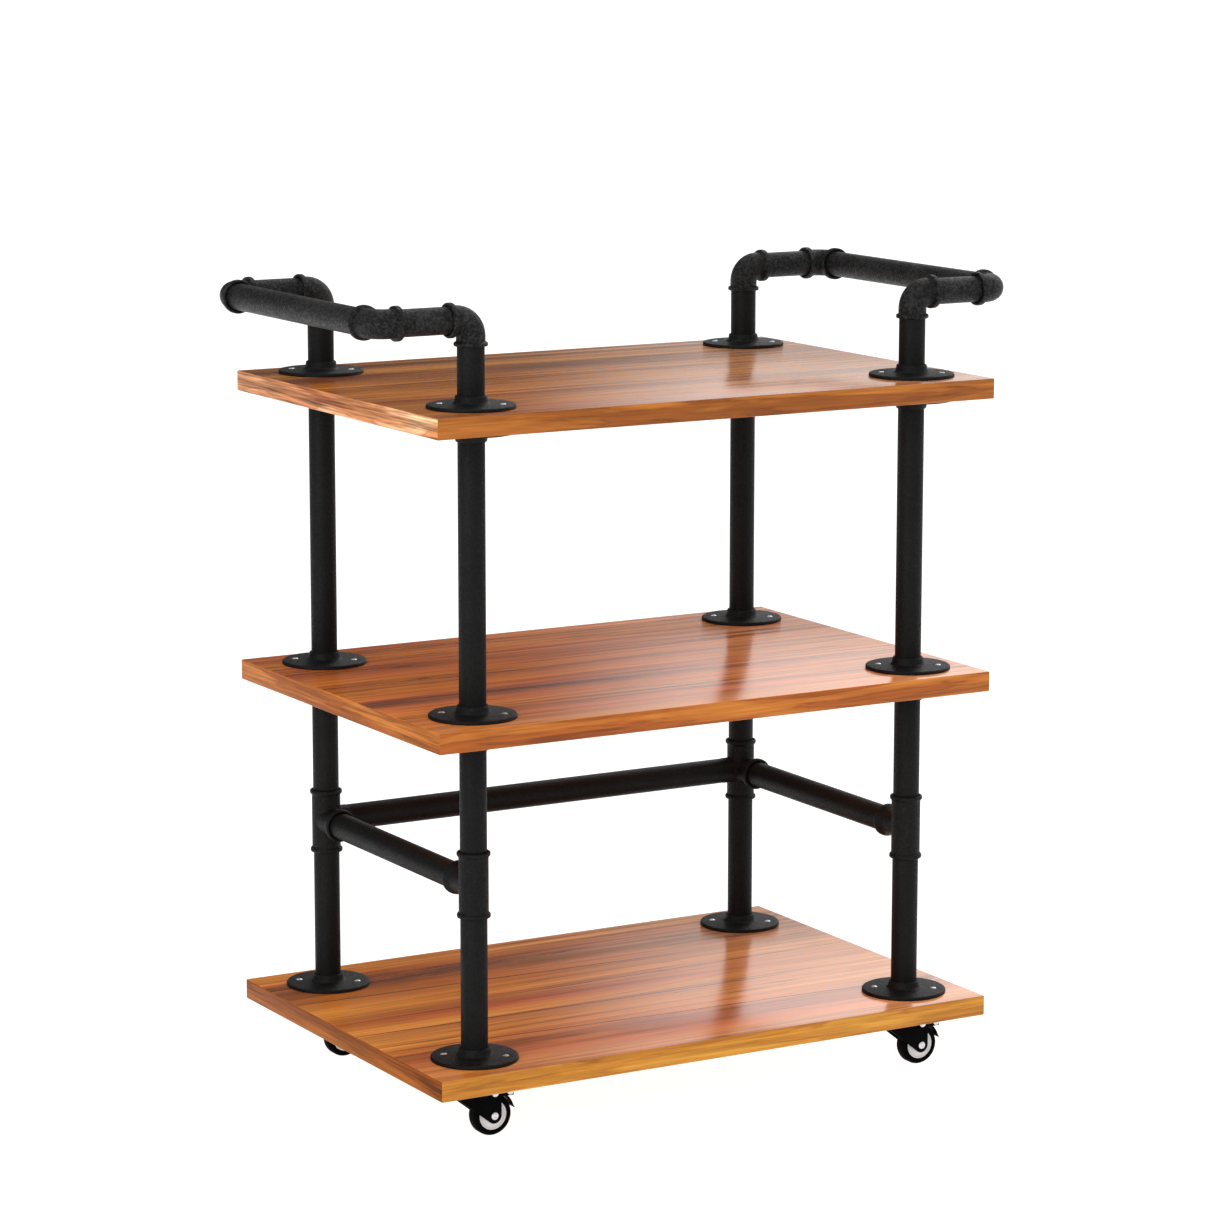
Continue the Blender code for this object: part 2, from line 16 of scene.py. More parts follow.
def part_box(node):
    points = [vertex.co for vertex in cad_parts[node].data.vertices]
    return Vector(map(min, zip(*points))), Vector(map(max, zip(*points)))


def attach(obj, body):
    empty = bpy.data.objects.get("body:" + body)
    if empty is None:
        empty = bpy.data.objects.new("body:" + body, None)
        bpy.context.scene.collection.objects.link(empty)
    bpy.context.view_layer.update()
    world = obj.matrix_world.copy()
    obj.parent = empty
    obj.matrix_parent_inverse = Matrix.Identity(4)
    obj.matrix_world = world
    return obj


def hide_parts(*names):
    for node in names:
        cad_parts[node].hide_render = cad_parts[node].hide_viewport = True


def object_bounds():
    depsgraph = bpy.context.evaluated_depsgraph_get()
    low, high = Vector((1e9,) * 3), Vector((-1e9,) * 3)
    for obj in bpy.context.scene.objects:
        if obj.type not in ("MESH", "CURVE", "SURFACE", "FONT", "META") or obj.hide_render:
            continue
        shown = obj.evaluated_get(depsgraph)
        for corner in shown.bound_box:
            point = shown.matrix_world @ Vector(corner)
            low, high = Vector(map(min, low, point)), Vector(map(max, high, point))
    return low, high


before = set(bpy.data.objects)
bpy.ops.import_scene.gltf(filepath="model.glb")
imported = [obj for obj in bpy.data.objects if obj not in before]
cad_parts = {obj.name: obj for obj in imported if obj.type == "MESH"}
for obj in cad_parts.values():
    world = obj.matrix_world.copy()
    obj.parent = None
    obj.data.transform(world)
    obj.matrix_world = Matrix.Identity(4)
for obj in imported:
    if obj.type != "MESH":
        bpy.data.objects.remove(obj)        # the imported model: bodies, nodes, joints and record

MM = 0.001
cad_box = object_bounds()
size = (cad_box[1] - cad_box[0]) / MM
print(f"the CAD model has {len(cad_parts)} nodes")
print(f"it measures {size.x:.1f} x {size.y:.1f} x {size.z:.1f} mm")

# %% [markdown]
# ## Where everything is
# The posts, the boards and the casters are read from the CAD nodes, so nothing is fitted by eye. A node's
# box gives its lowest and highest corner, and the middle of that box is the axis of a turned piece.

# %% Read the places from the nodes
CORNERS = {
    "front_left": (-1, -1),
    "front_right": (1, -1),
    "back_left": (-1, 1),
    "back_right": (1, 1),
}
LEVELS = ("bottom", "middle", "top")
X_AXIS = Vector((1, 0, 0))
Y_AXIS = Vector((0, 1, 0))
Z_AXIS = Vector((0, 0, 1))
FRAME_BODY = "cart_frame"


def middle_of(node):
    """The middle of a CAD node's box."""
    low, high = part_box(node)
    return (low + high) / 2


board_top = {level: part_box(f"{level}_shelf")[1].z for level in LEVELS}
board_under = {level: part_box(f"{level}_shelf")[0].z for level in LEVELS}
post_at = {corner: middle_of(f"top_flange_{corner}") for corner in CORNERS}
for point in post_at.values():
    point.z = 0
rail_height = middle_of("back_rail").z
handle_height = middle_of("left_handle_bar").z
bar_x = middle_of("right_handle_bar").x
axle_at = {corner: middle_of(f"caster_wheel_{corner}") for corner in CORNERS}
print(f"posts at {post_at['front_right'].x / MM:.1f}, {post_at['front_right'].y / MM:.1f} mm from the middle")

# %% [markdown]
# ## Shader arithmetic
# A procedural finish is a short sum: a colour plus some grain, minus a little in the seams. Written as
# nodes that is a web of boxes, so one small class wraps a node's output and lets Python's operators add
# the Math nodes.

# %% A link that can be added, subtracted and multiplied


class Link:
    """One output of a node in a finish; arithmetic on it adds Math nodes."""

    def __init__(self, finish, socket):
        self.finish = finish
        self.socket = socket

    def math(self, operation, first, second=0.0):
        return self.finish.math(operation, first, second)

    def __add__(self, other):
        return self.math("ADD", self, other)

    __radd__ = __add__

    def __sub__(self, other):
        return self.math("SUBTRACT", self, other)

    def __rsub__(self, other):
        return self.math("SUBTRACT", other, self)

    def __mul__(self, other):
        return self.math("MULTIPLY", self, other)

    __rmul__ = __mul__

    def __abs__(self):
        return self.math("ABSOLUTE", self)


class Finish:
    """A material in the making, with its Principled shader, or a world with its Background."""

    def __init__(self, name, world=False):
        store = bpy.data.worlds if world else bpy.data.materials
        self.owner = store.new(name)
        self.owner.use_nodes = True
        self.tree = self.owner.node_tree
        self.shader = self.tree.nodes["Background" if world else "Principled BSDF"]

    def fill(self, node, inputs):
        """Sets a node's sockets to values, or links them."""
        for key, value in inputs.items():
            if isinstance(value, Link):
                self.tree.links.new(value.socket, node.inputs[key])
            else:
                node.inputs[key].default_value = value

    def node(self, kind, settings=None, inputs=None, output=0):
        """Adds any node: its settings first, then its sockets."""
        made = self.tree.nodes.new(kind)
        for key, value in (settings or {}).items():
            if key == "stops":
                ramp = made.color_ramp.elements
                while len(ramp) < len(value):
                    ramp.new(0.5)
                for element, (position, colour) in zip(ramp, value):
                    element.position = position
                    element.color = colour
            else:
                setattr(made, key, value)
        self.fill(made, inputs or {})
        return Link(self, made.outputs[output])

    def math(self, operation, first, second=0.0):
        return self.node("ShaderNodeMath", {"operation": operation}, {0: first, 1: second})

    def place(self, scale=(1, 1, 1), shift=(0, 0, 0)):
        """The object's own coordinates, in metres, scaled and shifted."""
        spot = self.node("ShaderNodeTexCoord", output="Object")
        return self.node("ShaderNodeMapping", None, {"Vector": spot, "Scale": scale, "Location": shift})

    def parts(self):
        """The object's own coordinates as three numbers."""
        spot = self.node("ShaderNodeTexCoord", output="Object")
        return self.split(spot)

    def split(self, vector):
        """A vector's X, Y and Z as three numbers."""
        return [self.node("ShaderNodeSeparateXYZ", None, {0: vector}, output=axis) for axis in "XYZ"]

    def scaled(self, colour, light):
        """A colour made lighter or darker by a number."""
        return self.node("ShaderNodeVectorMath", {"operation": "SCALE"}, {0: colour, "Scale": light})

    def noise(self, place, scale=1.0, detail=2.0, roughness=0.5, distortion=0.0):
        """Noise from 0 to 1 at a place."""
        inputs = {
            "Vector": place,
            "Scale": scale,
            "Detail": detail,
            "Roughness": roughness,
            "Distortion": distortion,
        }
        return self.node("ShaderNodeTexNoise", None, inputs)

    def between(self, value, low, high, out_low=0.0, out_high=1.0):
        """The value's smooth way from low to high, as a number from out_low to out_high."""
        inputs = {"Value": value, "From Min": low, "From Max": high, "To Min": out_low, "To Max": out_high}
        return self.node("ShaderNodeMapRange", {"interpolation_type": "SMOOTHSTEP"}, inputs)

    def mix(self, share, first, second):
        """Mixes two colours; the Mix node takes colours at sockets 6 and 7 and gives one at output 2."""
        return self.node("ShaderNodeMix", {"data_type": "RGBA"}, {0: share, 6: first, 7: second}, output=2)

    def bump(self, height, distance, strength=1.0):
        """Makes a height from 0 to 1 stand out by a distance in metres."""
        inputs = {"Height": height, "Distance": distance, "Strength": strength}
        return self.node("ShaderNodeBump", None, inputs)

    def use(self, **inputs):
        """Feeds the shader; a keyword's underscores are the socket name's spaces."""
        self.fill(self.shader, {key.replace("_", " "): value for key, value in inputs.items()})
        return self.owner


def srgb(red, green, blue):
    """A colour given as on a screen, 0 to 255, as the linear numbers that a shader takes."""
    linear = []
    for part in (red, green, blue):
        share = part / 255
        linear.append(share / 12.92 if share <= 0.04045 else ((share + 0.055) / 1.055) ** 2.4)
    return (*linear, 1.0)


print("finishes can now be written as sums")

# %% [markdown]
# ## The lacquered wood
# The boards look like oiled acacia under a clear gloss lacquer. Along each board run bands of ochre,
# amber, rose and brown a few centimetres wide, as staves and growth rings make them, and no two boards
# are alike. So each board has its own list of tones from its front edge to its back edge. A colour ramp
# across the board blends them, and a slow noise along the grain makes the bands wander. Over them lie
# fine streaks, from noise that is stretched along the grain. Towards the back right all three boards are
# painted paler, a painted sheen that stands for the reflection of a bright wall.

# %% Tones across each board, from the front edge to the back, in millimetres
OCHRE = (214, 142, 58)
AMBER = (196, 116, 42)
TAN = (184, 114, 54)
ROSE = (184, 99, 50)
UMBER = (164, 94, 42)
BROWN = (144, 76, 36)
SMOKE = (100, 58, 40)
# painted sheen: the pinkish pale that stands for a bright wall's reflection on the tops towards the back
# right
SHEEN_TONE = (230, 166, 122)
TONES = {
    "top": (
        (-215, BROWN), (-190, UMBER), (-160, UMBER), (-125, TAN), (-90, BROWN), (-60, TAN), (-15, TAN),
        (25, BROWN), (48, TAN), (75, BROWN), (100, SMOKE), (118, BROWN), (140, OCHRE), (165, TAN),
        (185, SMOKE), (212, TAN),
    ),
    "middle": (
        (-215, TAN), (-195, UMBER), (-165, ROSE), (-145, BROWN), (-125, AMBER), (-85, ROSE), (-66, SMOKE),
        (-45, ROSE), (-10, AMBER), (28, BROWN), (45, AMBER), (75, ROSE), (105, BROWN), (130, ROSE),
        (165, AMBER), (190, BROWN), (212, ROSE),
    ),
    "bottom": (
        (-215, UMBER), (-195, TAN), (-165, ROSE), (-125, BROWN), (-100, AMBER), (-75, OCHRE), (-45, TAN),
        (-22, OCHRE), (0, ROSE), (28, TAN), (62, OCHRE), (85, TAN), (110, UMBER), (150, SMOKE), (178, ROSE),
        (208, OCHRE),
    ),
}
BOARD_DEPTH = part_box("top_shelf")[1].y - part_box("top_shelf")[0].y

# %% [markdown]
# Thin dark lines cross the boards where staves meet and where a growth ring comes up. Each line has a
# place across the board, a slope, a stretch that it covers and a strength. It is drawn where the distance
# to that slightly wavy line is less than its width, and it fades in and out at its ends.

# %% Dark lines: place in mm, slope in mm per m, start and end in mm, strength
LINES = {
    "top": (
        (18, -22, -320, 20, 0.55), (-119, -8, -180, 20, 0.5), (14, -30, 60, 300, 0.3),
        (-93, 10, -60, 230, 0.3),
    ),
    "middle": (
        (190, -6, -150, 180, 0.6), (91, -42, -200, 317, 0.5), (29, -12, -320, -150, 0.75),
        (-33, -8, 60, 300, 0.45), (-64, -14, -190, 30, 0.7), (-144, -16, -200, 260, 0.6),
        (62, -10, 80, 300, 0.4),
    ),
    "bottom": (
        (90, -30, -320, 130, 0.9), (31, 22, -90, 317, 0.75), (-42, -14, -320, 180, 0.85),
        (-116, -44, -320, 317, 0.9), (60, 18, 60, 300, 0.35), (-160, -18, -100, 300, 0.45),
        (6, 10, -250, 60, 0.3),
    ),
}
LINE_COLOUR = srgb(58, 30, 20)
LINE_CORE = 0.4 * MM
LINE_EDGE = 1.7 * MM
LINE_FADE = 50 * MM


def lines_across(wood, along, across, lines, wander):
    """How dark the thin lines make a place, from 0 to 1."""
    total = 0
    for place, slope, start, end, strength in lines:
        off = across - along * (slope * MM) - wander - place * MM
        line = wood.between(abs(off), LINE_CORE, LINE_EDGE, strength, 0)
        line = line * wood.between(along, start * MM - LINE_FADE, start * MM + LINE_FADE)
        total = line * wood.between(along, end * MM - LINE_FADE, end * MM + LINE_FADE, 1, 0) + total
    return total


def stretched(wood, along, length, width, shift):
    """Coordinates for noise with so many waves per metre along the grain and across it."""
    scale = [width, width, width]
    scale[along] = length
    return wood.place(scale=scale, shift=shift)


def grain(wood, along, seed):
    """Streaks and finer fibres that run along an axis, both from 0 to 1."""
    shift = (seed, 1.7 * seed, 0.6 * seed)
    streaks = wood.noise(stretched(wood, along, 2.2, 95, shift), detail=4, roughness=0.62)
    fibres = wood.noise(stretched(wood, along, 10, 560, shift), detail=3, roughness=0.65)
    return streaks, fibres


def threads(wood, along, seed):
    """Fine dark threads along the grain, where one stretched noise passes its middle value."""
    place = stretched(wood, along, 1.6, 58, (seed, 2.3 * seed, seed))
    field = wood.noise(place, detail=2, roughness=0.55)
    patches = wood.noise(stretched(wood, along, 7, 24, (2 * seed, seed, seed)), detail=2)
    return wood.between(abs(field - 0.5), 0.002, 0.02, 1, 0) * wood.between(patches, 0.4, 0.6)


def make_top_wood(level, seed, painted_light_gain):
    """The wood of a board's faces; the last number scales its brightness as a whole: painted light that lifts
    the lower boards against the shade of the boards above.
    """
    wood = Finish(f"wood_{level}")
    x, y, z = wood.parts()
    slow = wood.noise(stretched(wood, 0, 2.6, 7, (seed, 0, seed)), detail=3)
    wander = (slow - 0.5) * 0.034
    streaks, fibres = grain(wood, 0, seed)
    wander = wander + (streaks - 0.5) * 0.06
    share = (y + wander + z * 0.4 - board_top[level] * 0.4) * (1 / BOARD_DEPTH) + 0.5
    stops = [(place * MM / BOARD_DEPTH + 0.5, srgb(*tone)) for place, tone in TONES[level]]
    colour = wood.node("ShaderNodeValToRGB", {"stops": stops}, {"Fac": share})
    drift = wood.noise(stretched(wood, 0, 4.5, 16, (0, seed, seed)), detail=4, roughness=0.6)
    colour = wood.mix(wood.between(drift, 0.42, 0.7, 0, 0.55), colour, srgb(*AMBER))
    # painted sheen: every board's top is painted paler towards the back right, for the bright wall's
    # reflection
    painted_sheen = wood.between(x + y * 0.5, -0.12, 0.3, 0, 0.55)  # more towards the back right
    colour = wood.mix(painted_sheen * wood.between(streaks, 0.25, 0.6, 0.5, 1), colour, srgb(*SHEEN_TONE))
    # painted light: the board's brightness number lifts the whole top, against the shade of the boards above
    colour = wood.scaled(colour, (streaks * 1.5 + fibres * 0.9 - 0.2) * painted_light_gain)
    colour = wood.mix(threads(wood, 0, seed) * 0.5, colour, LINE_COLOUR)
    thin = wood.noise(stretched(wood, 0, 6, 30, (seed, seed, 0)), detail=2)
    wave = (slow - 0.5) * 0.007 + (thin - 0.5) * 0.003
    dark = lines_across(wood, x, y, LINES[level], wave) * wood.between(streaks, 0.2, 0.6, 0.55, 1)
    colour = wood.mix(dark, colour, LINE_COLOUR)
    return wood.use(
        Base_Color=colour,
        Roughness=wood.between(streaks, 0.2, 0.8, 0.16, 0.24),
        Normal=wood.bump(fibres * 0.35 + streaks * 0.3 - dark * 0.5, 0.00012, 0.35),
    )


# %% [markdown]
# The narrow faces show other cuts of the wood. The long edges carry wavy lines that run along the board
# and slant through its thickness. The ends are edged with a strip whose grain runs across the cart. Both
# got less lacquer than the tops, so they shine less.

# %% Wood of the narrow faces
SIDE_TONES = {
    "top": ((144, 78, 24), (178, 108, 40), (92, 46, 18)),
    "middle": ((160, 84, 28), (192, 116, 44), (110, 52, 20)),
    "bottom": ((186, 120, 38), (208, 146, 54), (136, 80, 26)),
}
END_TONES = {
    "top": ((192, 126, 82), (236, 188, 144), (136, 74, 42)),
    "middle": ((156, 86, 36), (184, 112, 52), (116, 60, 26)),
    "bottom": ((134, 70, 22), (158, 90, 28), (70, 36, 18)),
}


def make_side_wood(level, along, seed, tones, contrast, gloss):
    """The wood of a board's long edges (along X, 0) or of its ends (along Y, 1)."""
    wood = Finish(f"wood_{level}_{'end' if along else 'edge'}")
    middle, light, dark = (srgb(*tone) for tone in tones)
    streaks, fibres = grain(wood, along, seed)
    place = stretched(wood, along, 5, 70, (seed, seed, seed))
    bands = wood.noise(place, detail=4, roughness=0.6, distortion=0.5)
    colour = wood.mix(wood.between(bands, 0.45, 0.7), middle, light)
    colour = wood.mix(wood.between(bands, 0.44, 0.3, 0, 0.85), colour, dark)
    ring = wood.between(abs(bands - 0.5), 0.004, 0.03, 0.5, 0)
    colour = wood.mix(ring * wood.between(streaks, 0.35, 0.6), colour, dark)
    flecks = wood.noise(stretched(wood, along, 13, 460, (seed, 0, seed)), detail=2)
    swing = streaks * 0.8 + fibres * 0.6 + flecks * 1.2 - 1.3
    colour = wood.scaled(colour, swing * contrast + 1)
    return wood.use(
        Base_Color=colour,
        Roughness=wood.between(streaks, 0.2, 0.8, 0.3, 0.4),
        Specular_IOR_Level=gloss,
        Normal=wood.bump(fibres * 0.4 + flecks * 0.4, 0.0002, 0.35),
    )


END_CONTRAST = {"top": 2.2, "middle": 1.3, "bottom": 1.1}
# painted light: the middle and bottom tops are made lighter than the top board's, against the shade that the
# boards above cast on them
PAINTED_LIGHT_GAIN = {"top": 1.02, "middle": 1.38, "bottom": 1.23}
board_woods = {
    level: (
        make_top_wood(level, seed, PAINTED_LIGHT_GAIN[level]),
        make_side_wood(level, 0, seed, SIDE_TONES[level], 0.65, 0.2),
        make_side_wood(level, 1, seed + 2, END_TONES[level], END_CONTRAST[level], 0.04),
    )
    for level, seed in (("bottom", 3.1), ("middle", 6.4), ("top", 9.2))
}
print("each board has its own wood for its faces, its long edges and its ends")

# %% [markdown]
# ## The black pipe
# Pipes and fittings are iron under a thin black powder coat. Drawn pipe has a fine skin. The fittings are
# sand cast, so they keep a pebbly skin under the paint, and the handles are pebbled the most. All three
# are one finish with another depth of texture: two sizes of noise feed a Bump node, and the high spots
# are a little glossier and painted a lighter grey, a painted highlight on each pebble.

# %% Paint on pipe and on castings
PAINT_GLOSS = 0.12


def make_paint(name, dark, light, pebble, depth, roughness):
    """Black paint over iron: its grey, the painted highlight grey on the bump tops, the bumps per metre,
    their depth and the mean roughness.
    """
    paint = Finish(name)
    place = paint.place()
    coarse = paint.noise(place, pebble, detail=3, roughness=0.65, distortion=0.4)
    fine = paint.noise(place, pebble * 3.7, detail=2)
    cloud = paint.noise(place, 26, detail=3)
    # painted highlight: the high spots of the bumps take the lighter grey
    high = paint.between(coarse * 0.6 + fine * 0.4 + cloud * 0.25, 0.56, 0.76)
    return paint.use(
        Base_Color=paint.mix(high, srgb(dark, dark, dark), srgb(light, light, light)),
        Roughness=paint.between(coarse, 0.3, 0.7, roughness + 0.1, roughness - 0.08),
        Specular_IOR_Level=PAINT_GLOSS,
        Normal=paint.bump(coarse * 0.7 + fine * 0.3, depth),
    )


pipe_paint = make_paint("black_pipe", 11, 19, 430, 0.0005, 0.5)
cast_paint = make_paint("black_casting", 10, 22, 430, 0.0009, 0.48)
# the handles carry the brightest painted highlights
pebbled_paint = make_paint("black_pebbled", 10, 50, 340, 0.0028, 0.36)
print("the handles' skin is the roughest, then the castings', then the pipes'")

# %% [markdown]
# ## The caster's metals, plastic and rubber
# The fork and the plate are pressed steel under a glossy black coat, the axle and rivets are bright zinc,
# the wheel's body is light grey plastic and its tyre black rubber. Zinc shows faint turning marks,
# plastic a fine grain, and rubber is matt with a little dust.

# %% Coated steel, zinc, plastic and rubber


def make_zinc():
    zinc = Finish("bright_zinc")
    cloud = zinc.noise(zinc.place(), 900, detail=3)
    marks = zinc.noise(zinc.place(scale=(300, 300, 2600)), 1, detail=2)
    colour = zinc.mix(cloud, srgb(196, 196, 200), srgb(226, 226, 228))
    return zinc.use(
        Base_Color=colour,
        Metallic=0.9,
        Roughness=zinc.between(cloud, 0.3, 0.7, 0.24, 0.38),
        Normal=zinc.bump(marks, 0.00002, 0.4),
    )


def make_plain(name, dark, light, bumps, depth, roughness, gloss):
    """A moulded or coated surface: two near greys, a fine texture and how much it reflects."""
    plain = Finish(name)
    cloud = plain.noise(plain.place(), 120, detail=3)
    skin = plain.noise(plain.place(), bumps, detail=2)
    return plain.use(
        Base_Color=plain.mix(cloud, srgb(*dark), srgb(*light)),
        Roughness=plain.between(skin, 0.3, 0.7, *roughness),
        Specular_IOR_Level=gloss,
        Normal=plain.bump(skin, depth),
    )


zinc_finish = make_zinc()
steel_coat = make_plain("black_steel", (2, 2, 3), (7, 7, 8), 1500, 0.00003, (0.36, 0.48), 0.02)
rubber = make_plain("black_tyre", (3, 3, 3), (8, 8, 8), 1800, 0.00006, (0.55, 0.72), 0.02)
grey_plastic = make_plain(
    "grey_plastic", (206, 206, 206), (220, 220, 220), 1400, 0.00003, (0.35, 0.45), 0.35
)
print("caster finishes made")

# %% [markdown]
# ## Tools for the shapes
# Most of the cart is turned or bent from round stock. A turned piece starts as half its outline and is
# spun round the axis. Sharp corners would catch no light, so each corner of an outline may have a
# rounding, drawn as an arc. A piece that is cut by another uses an exact Boolean, whose result is kept as
# the mesh.

# %% Outlines, spins, cuts and finished pieces
ROUND_STEPS = 64
ARC_STEPS = 4
SHARP = math.radians(38)


def outline(corners):
    """Points of an outline from corners (radius, height, rounding), with an arc at each rounded one."""
    points = []
    for i, (radius, height, rounding) in enumerate(corners):
        here = Vector((radius, height))
        if not rounding:
            points.append(here)
            continue
        before = (Vector(corners[i - 1][:2]) - here).normalized()
        after = (Vector(corners[(i + 1) % len(corners)][:2]) - here).normalized()
        opening = before.angle(after)
        centre = here + (before + after).normalized() * (rounding / math.sin(opening / 2))
        reach = rounding / math.tan(opening / 2)
        start = here + before * reach - centre
        sweep = start.angle_signed(here + after * reach - centre)
        for step in range(ARC_STEPS + 1):
            points.append(centre + Matrix.Rotation(-sweep * step / ARC_STEPS, 2) @ start)
    return points


def turned(corners, closed=False, steps=ROUND_STEPS):
    """An outline spun round Z: a closed one makes a tube, an open one starts and ends on Z."""
    bm = bmesh.new()
    verts = [bm.verts.new((point.x, 0, point.y)) for point in outline(corners)]
    pairs = list(zip(verts, verts[1:]))
    if closed:
        pairs.append((verts[-1], verts[0]))
    edges = [bm.edges.new(pair) for pair in pairs]
    bmesh.ops.spin(
        bm, geom=verts + edges, cent=(0, 0, 0), axis=Z_AXIS, angle=2 * math.pi, steps=steps, use_merge=True
    )
    return tidy(bm)


def tidy(bm):
    """Merges doubles and turns the faces outwards."""
    bmesh.ops.remove_doubles(bm, verts=bm.verts[:], dist=0.001 * MM)
    bmesh.ops.recalc_face_normals(bm, faces=bm.faces[:])
    return bm


def moved(bm, place, axis=Z_AXIS):
    """A copy of a bmesh with its Z axis turned to another axis and its origin at a place."""
    copy = bm.copy()
    turn = Z_AXIS.rotation_difference(axis).to_matrix().to_4x4()
    bmesh.ops.transform(copy, matrix=Matrix.Translation(place) @ turn, verts=copy.verts[:])
    return copy


def scratch(bm):
    """A hidden object for a Boolean, gone once the result is kept."""
    mesh = bpy.data.meshes.new("scratch")
    bm.to_mesh(mesh)
    thing = bpy.data.objects.new("scratch", mesh)
    bpy.context.scene.collection.objects.link(thing)
    return thing


def with_modifiers(bm, *modifiers):
    """The bmesh after modifiers (type, settings); a bmesh among the settings becomes an object."""
    thing = scratch(bm)
    helpers = []
    for kind, settings in modifiers:
        modifier = thing.modifiers.new(kind, kind)
        for key, value in settings.items():
            if isinstance(value, bmesh.types.BMesh):
                value = scratch(value)
                helpers.append(value)
            setattr(modifier, key, value)
    bpy.context.view_layer.update()
    result = bmesh.new()
    result.from_object(thing, bpy.context.evaluated_depsgraph_get())
    for helper in [thing, *helpers]:
        mesh = helper.data
        bpy.data.objects.remove(helper)
        bpy.data.meshes.remove(mesh)
    return result


def cut(bm, tool):
    return with_modifiers(bm, ("BOOLEAN", {"operation": "DIFFERENCE", "solver": "EXACT", "object": tool}))


def join(bm, other):
    return with_modifiers(bm, ("BOOLEAN", {"operation": "UNION", "solver": "EXACT", "object": other}))


def together(*parts):
    """Several bmeshes as one, not merged."""
    whole = bmesh.new()
    for part in parts:
        mesh = bpy.data.meshes.new("part")
        part.to_mesh(mesh)
        whole.from_mesh(mesh)
        bpy.data.meshes.remove(mesh)
    return whole


def ease(bm, width, segments=2):
    """Bevels every sharp edge."""
    edges = [edge for edge in bm.edges if len(edge.link_faces) == 2 and edge.calc_face_angle() > SHARP]
    bmesh.ops.bevel(
        bm,
        geom=edges,
        offset=width,
        segments=segments,
        profile=0.5,
        affect="EDGES",
        material=-1,
        clamp_overlap=True,
    )
    return bm


def block(low, high):
    """A box between two corners."""
    bm = bmesh.new()
    bmesh.ops.create_cube(bm, size=1)
    bmesh.ops.scale(bm, vec=Vector(high) - Vector(low), verts=bm.verts[:])
    bmesh.ops.translate(bm, vec=(Vector(high) + Vector(low)) / 2, verts=bm.verts[:])
    return bm


def finished(name, bm, finish, body=FRAME_BODY, stands_for=()):
    """A finished piece that rides on a body and hides the CAD nodes that it stands for."""
    mesh = bpy.data.meshes.new(name)
    bm.to_mesh(mesh)
    bm.free()
    for material in finish if isinstance(finish, tuple) else (finish,):
        mesh.materials.append(material)
    mesh.shade_smooth()
    mesh.set_sharp_from_angle(angle=SHARP)
    piece = bpy.data.objects.new(name, mesh)
    bpy.context.scene.collection.objects.link(piece)
    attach(piece, body)
    if stands_for:
        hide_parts(*stands_for)
    return piece


print("tools ready")

# %% [markdown]
# ## The boards
# Each board is a plain block with every edge eased by about a millimetre, so that its edges catch a line
# of light. Faces that look up or down take the first of the board's woods, the long edges the second and
# the ends the third.

# %% Three boards
BOARD_EASE = 1.0 * MM


def make_board(level):
    bm = block(*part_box(f"{level}_shelf"))
    ease(bm, BOARD_EASE, segments=4)
    for face in bm.faces:
        if abs(face.normal.z) < 0.7:
            face.material_index = 1 if abs(face.normal.y) > abs(face.normal.x) else 2
    name = f"{level}_board"
    return finished(name, bm, board_woods[level], stands_for=[f"{level}_shelf"])


for level in LEVELS:
    board = make_board(level)
    print(board.name, "at", round(board_top[level] / MM, 1), "mm")

# %% [markdown]
# ## Floor flanges and their screws
# A floor flange is a cast disc with a raised threaded hub. Its outline has a rounded rim, a soft fillet
# where the hub rises and a slightly tapered hub, so it is spun with those corners rounded. Two
# countersunk holes are cut in it and a cross-head screw sits in each.

# %% One flange and one screw, then all of them
FLANGE_R = 43.5 * MM
FLANGE_THICK = 3.6 * MM
HUB_R = 15.2 * MM
HUB_FOOT_R = 16.4 * MM
HUB_HEIGHT = 12 * MM
PIPE_R = 13.35 * MM
SOCKET_R = PIPE_R + 0.12 * MM
SCREW_CIRCLE_R = 30.6 * MM
SCREW_TURN = math.radians(-35)
SCREW_R = 3.5 * MM
SCREW_HOLE_R = 2.6 * MM


def flange_shape():
    corners = [
        (SOCKET_R, 0, 0),
        (FLANGE_R, 0, 0.7 * MM),
        (FLANGE_R - 0.3 * MM, FLANGE_THICK, 1.5 * MM),
        (HUB_FOOT_R, FLANGE_THICK + 0.5 * MM, 3.2 * MM),
        (HUB_R, HUB_HEIGHT, 1.0 * MM),
        (SOCKET_R, HUB_HEIGHT, 0.3 * MM),
    ]
    bm = turned(corners, closed=True, steps=96)
    hole = [
        (0, -MM, 0),
        (SCREW_HOLE_R, -MM, 0),
        (SCREW_HOLE_R, FLANGE_THICK - 1.4 * MM, 0),
        (SCREW_R + 0.6 * MM, FLANGE_THICK + 0.5 * MM, 0),
        (SCREW_R + 0.6 * MM, FLANGE_THICK + 2 * MM, 0),
        (0, FLANGE_THICK + 2 * MM, 0),
    ]
    tool = turned(hole, steps=24)
    return cut(bm, together(*[moved(tool, spot) for spot in screw_spots()]))


def screw_spots():
    """Where a flange's two screws stand, opposite each other."""
    first = Vector((math.cos(SCREW_TURN), math.sin(SCREW_TURN), 0)) * SCREW_CIRCLE_R
    return [first, -first]


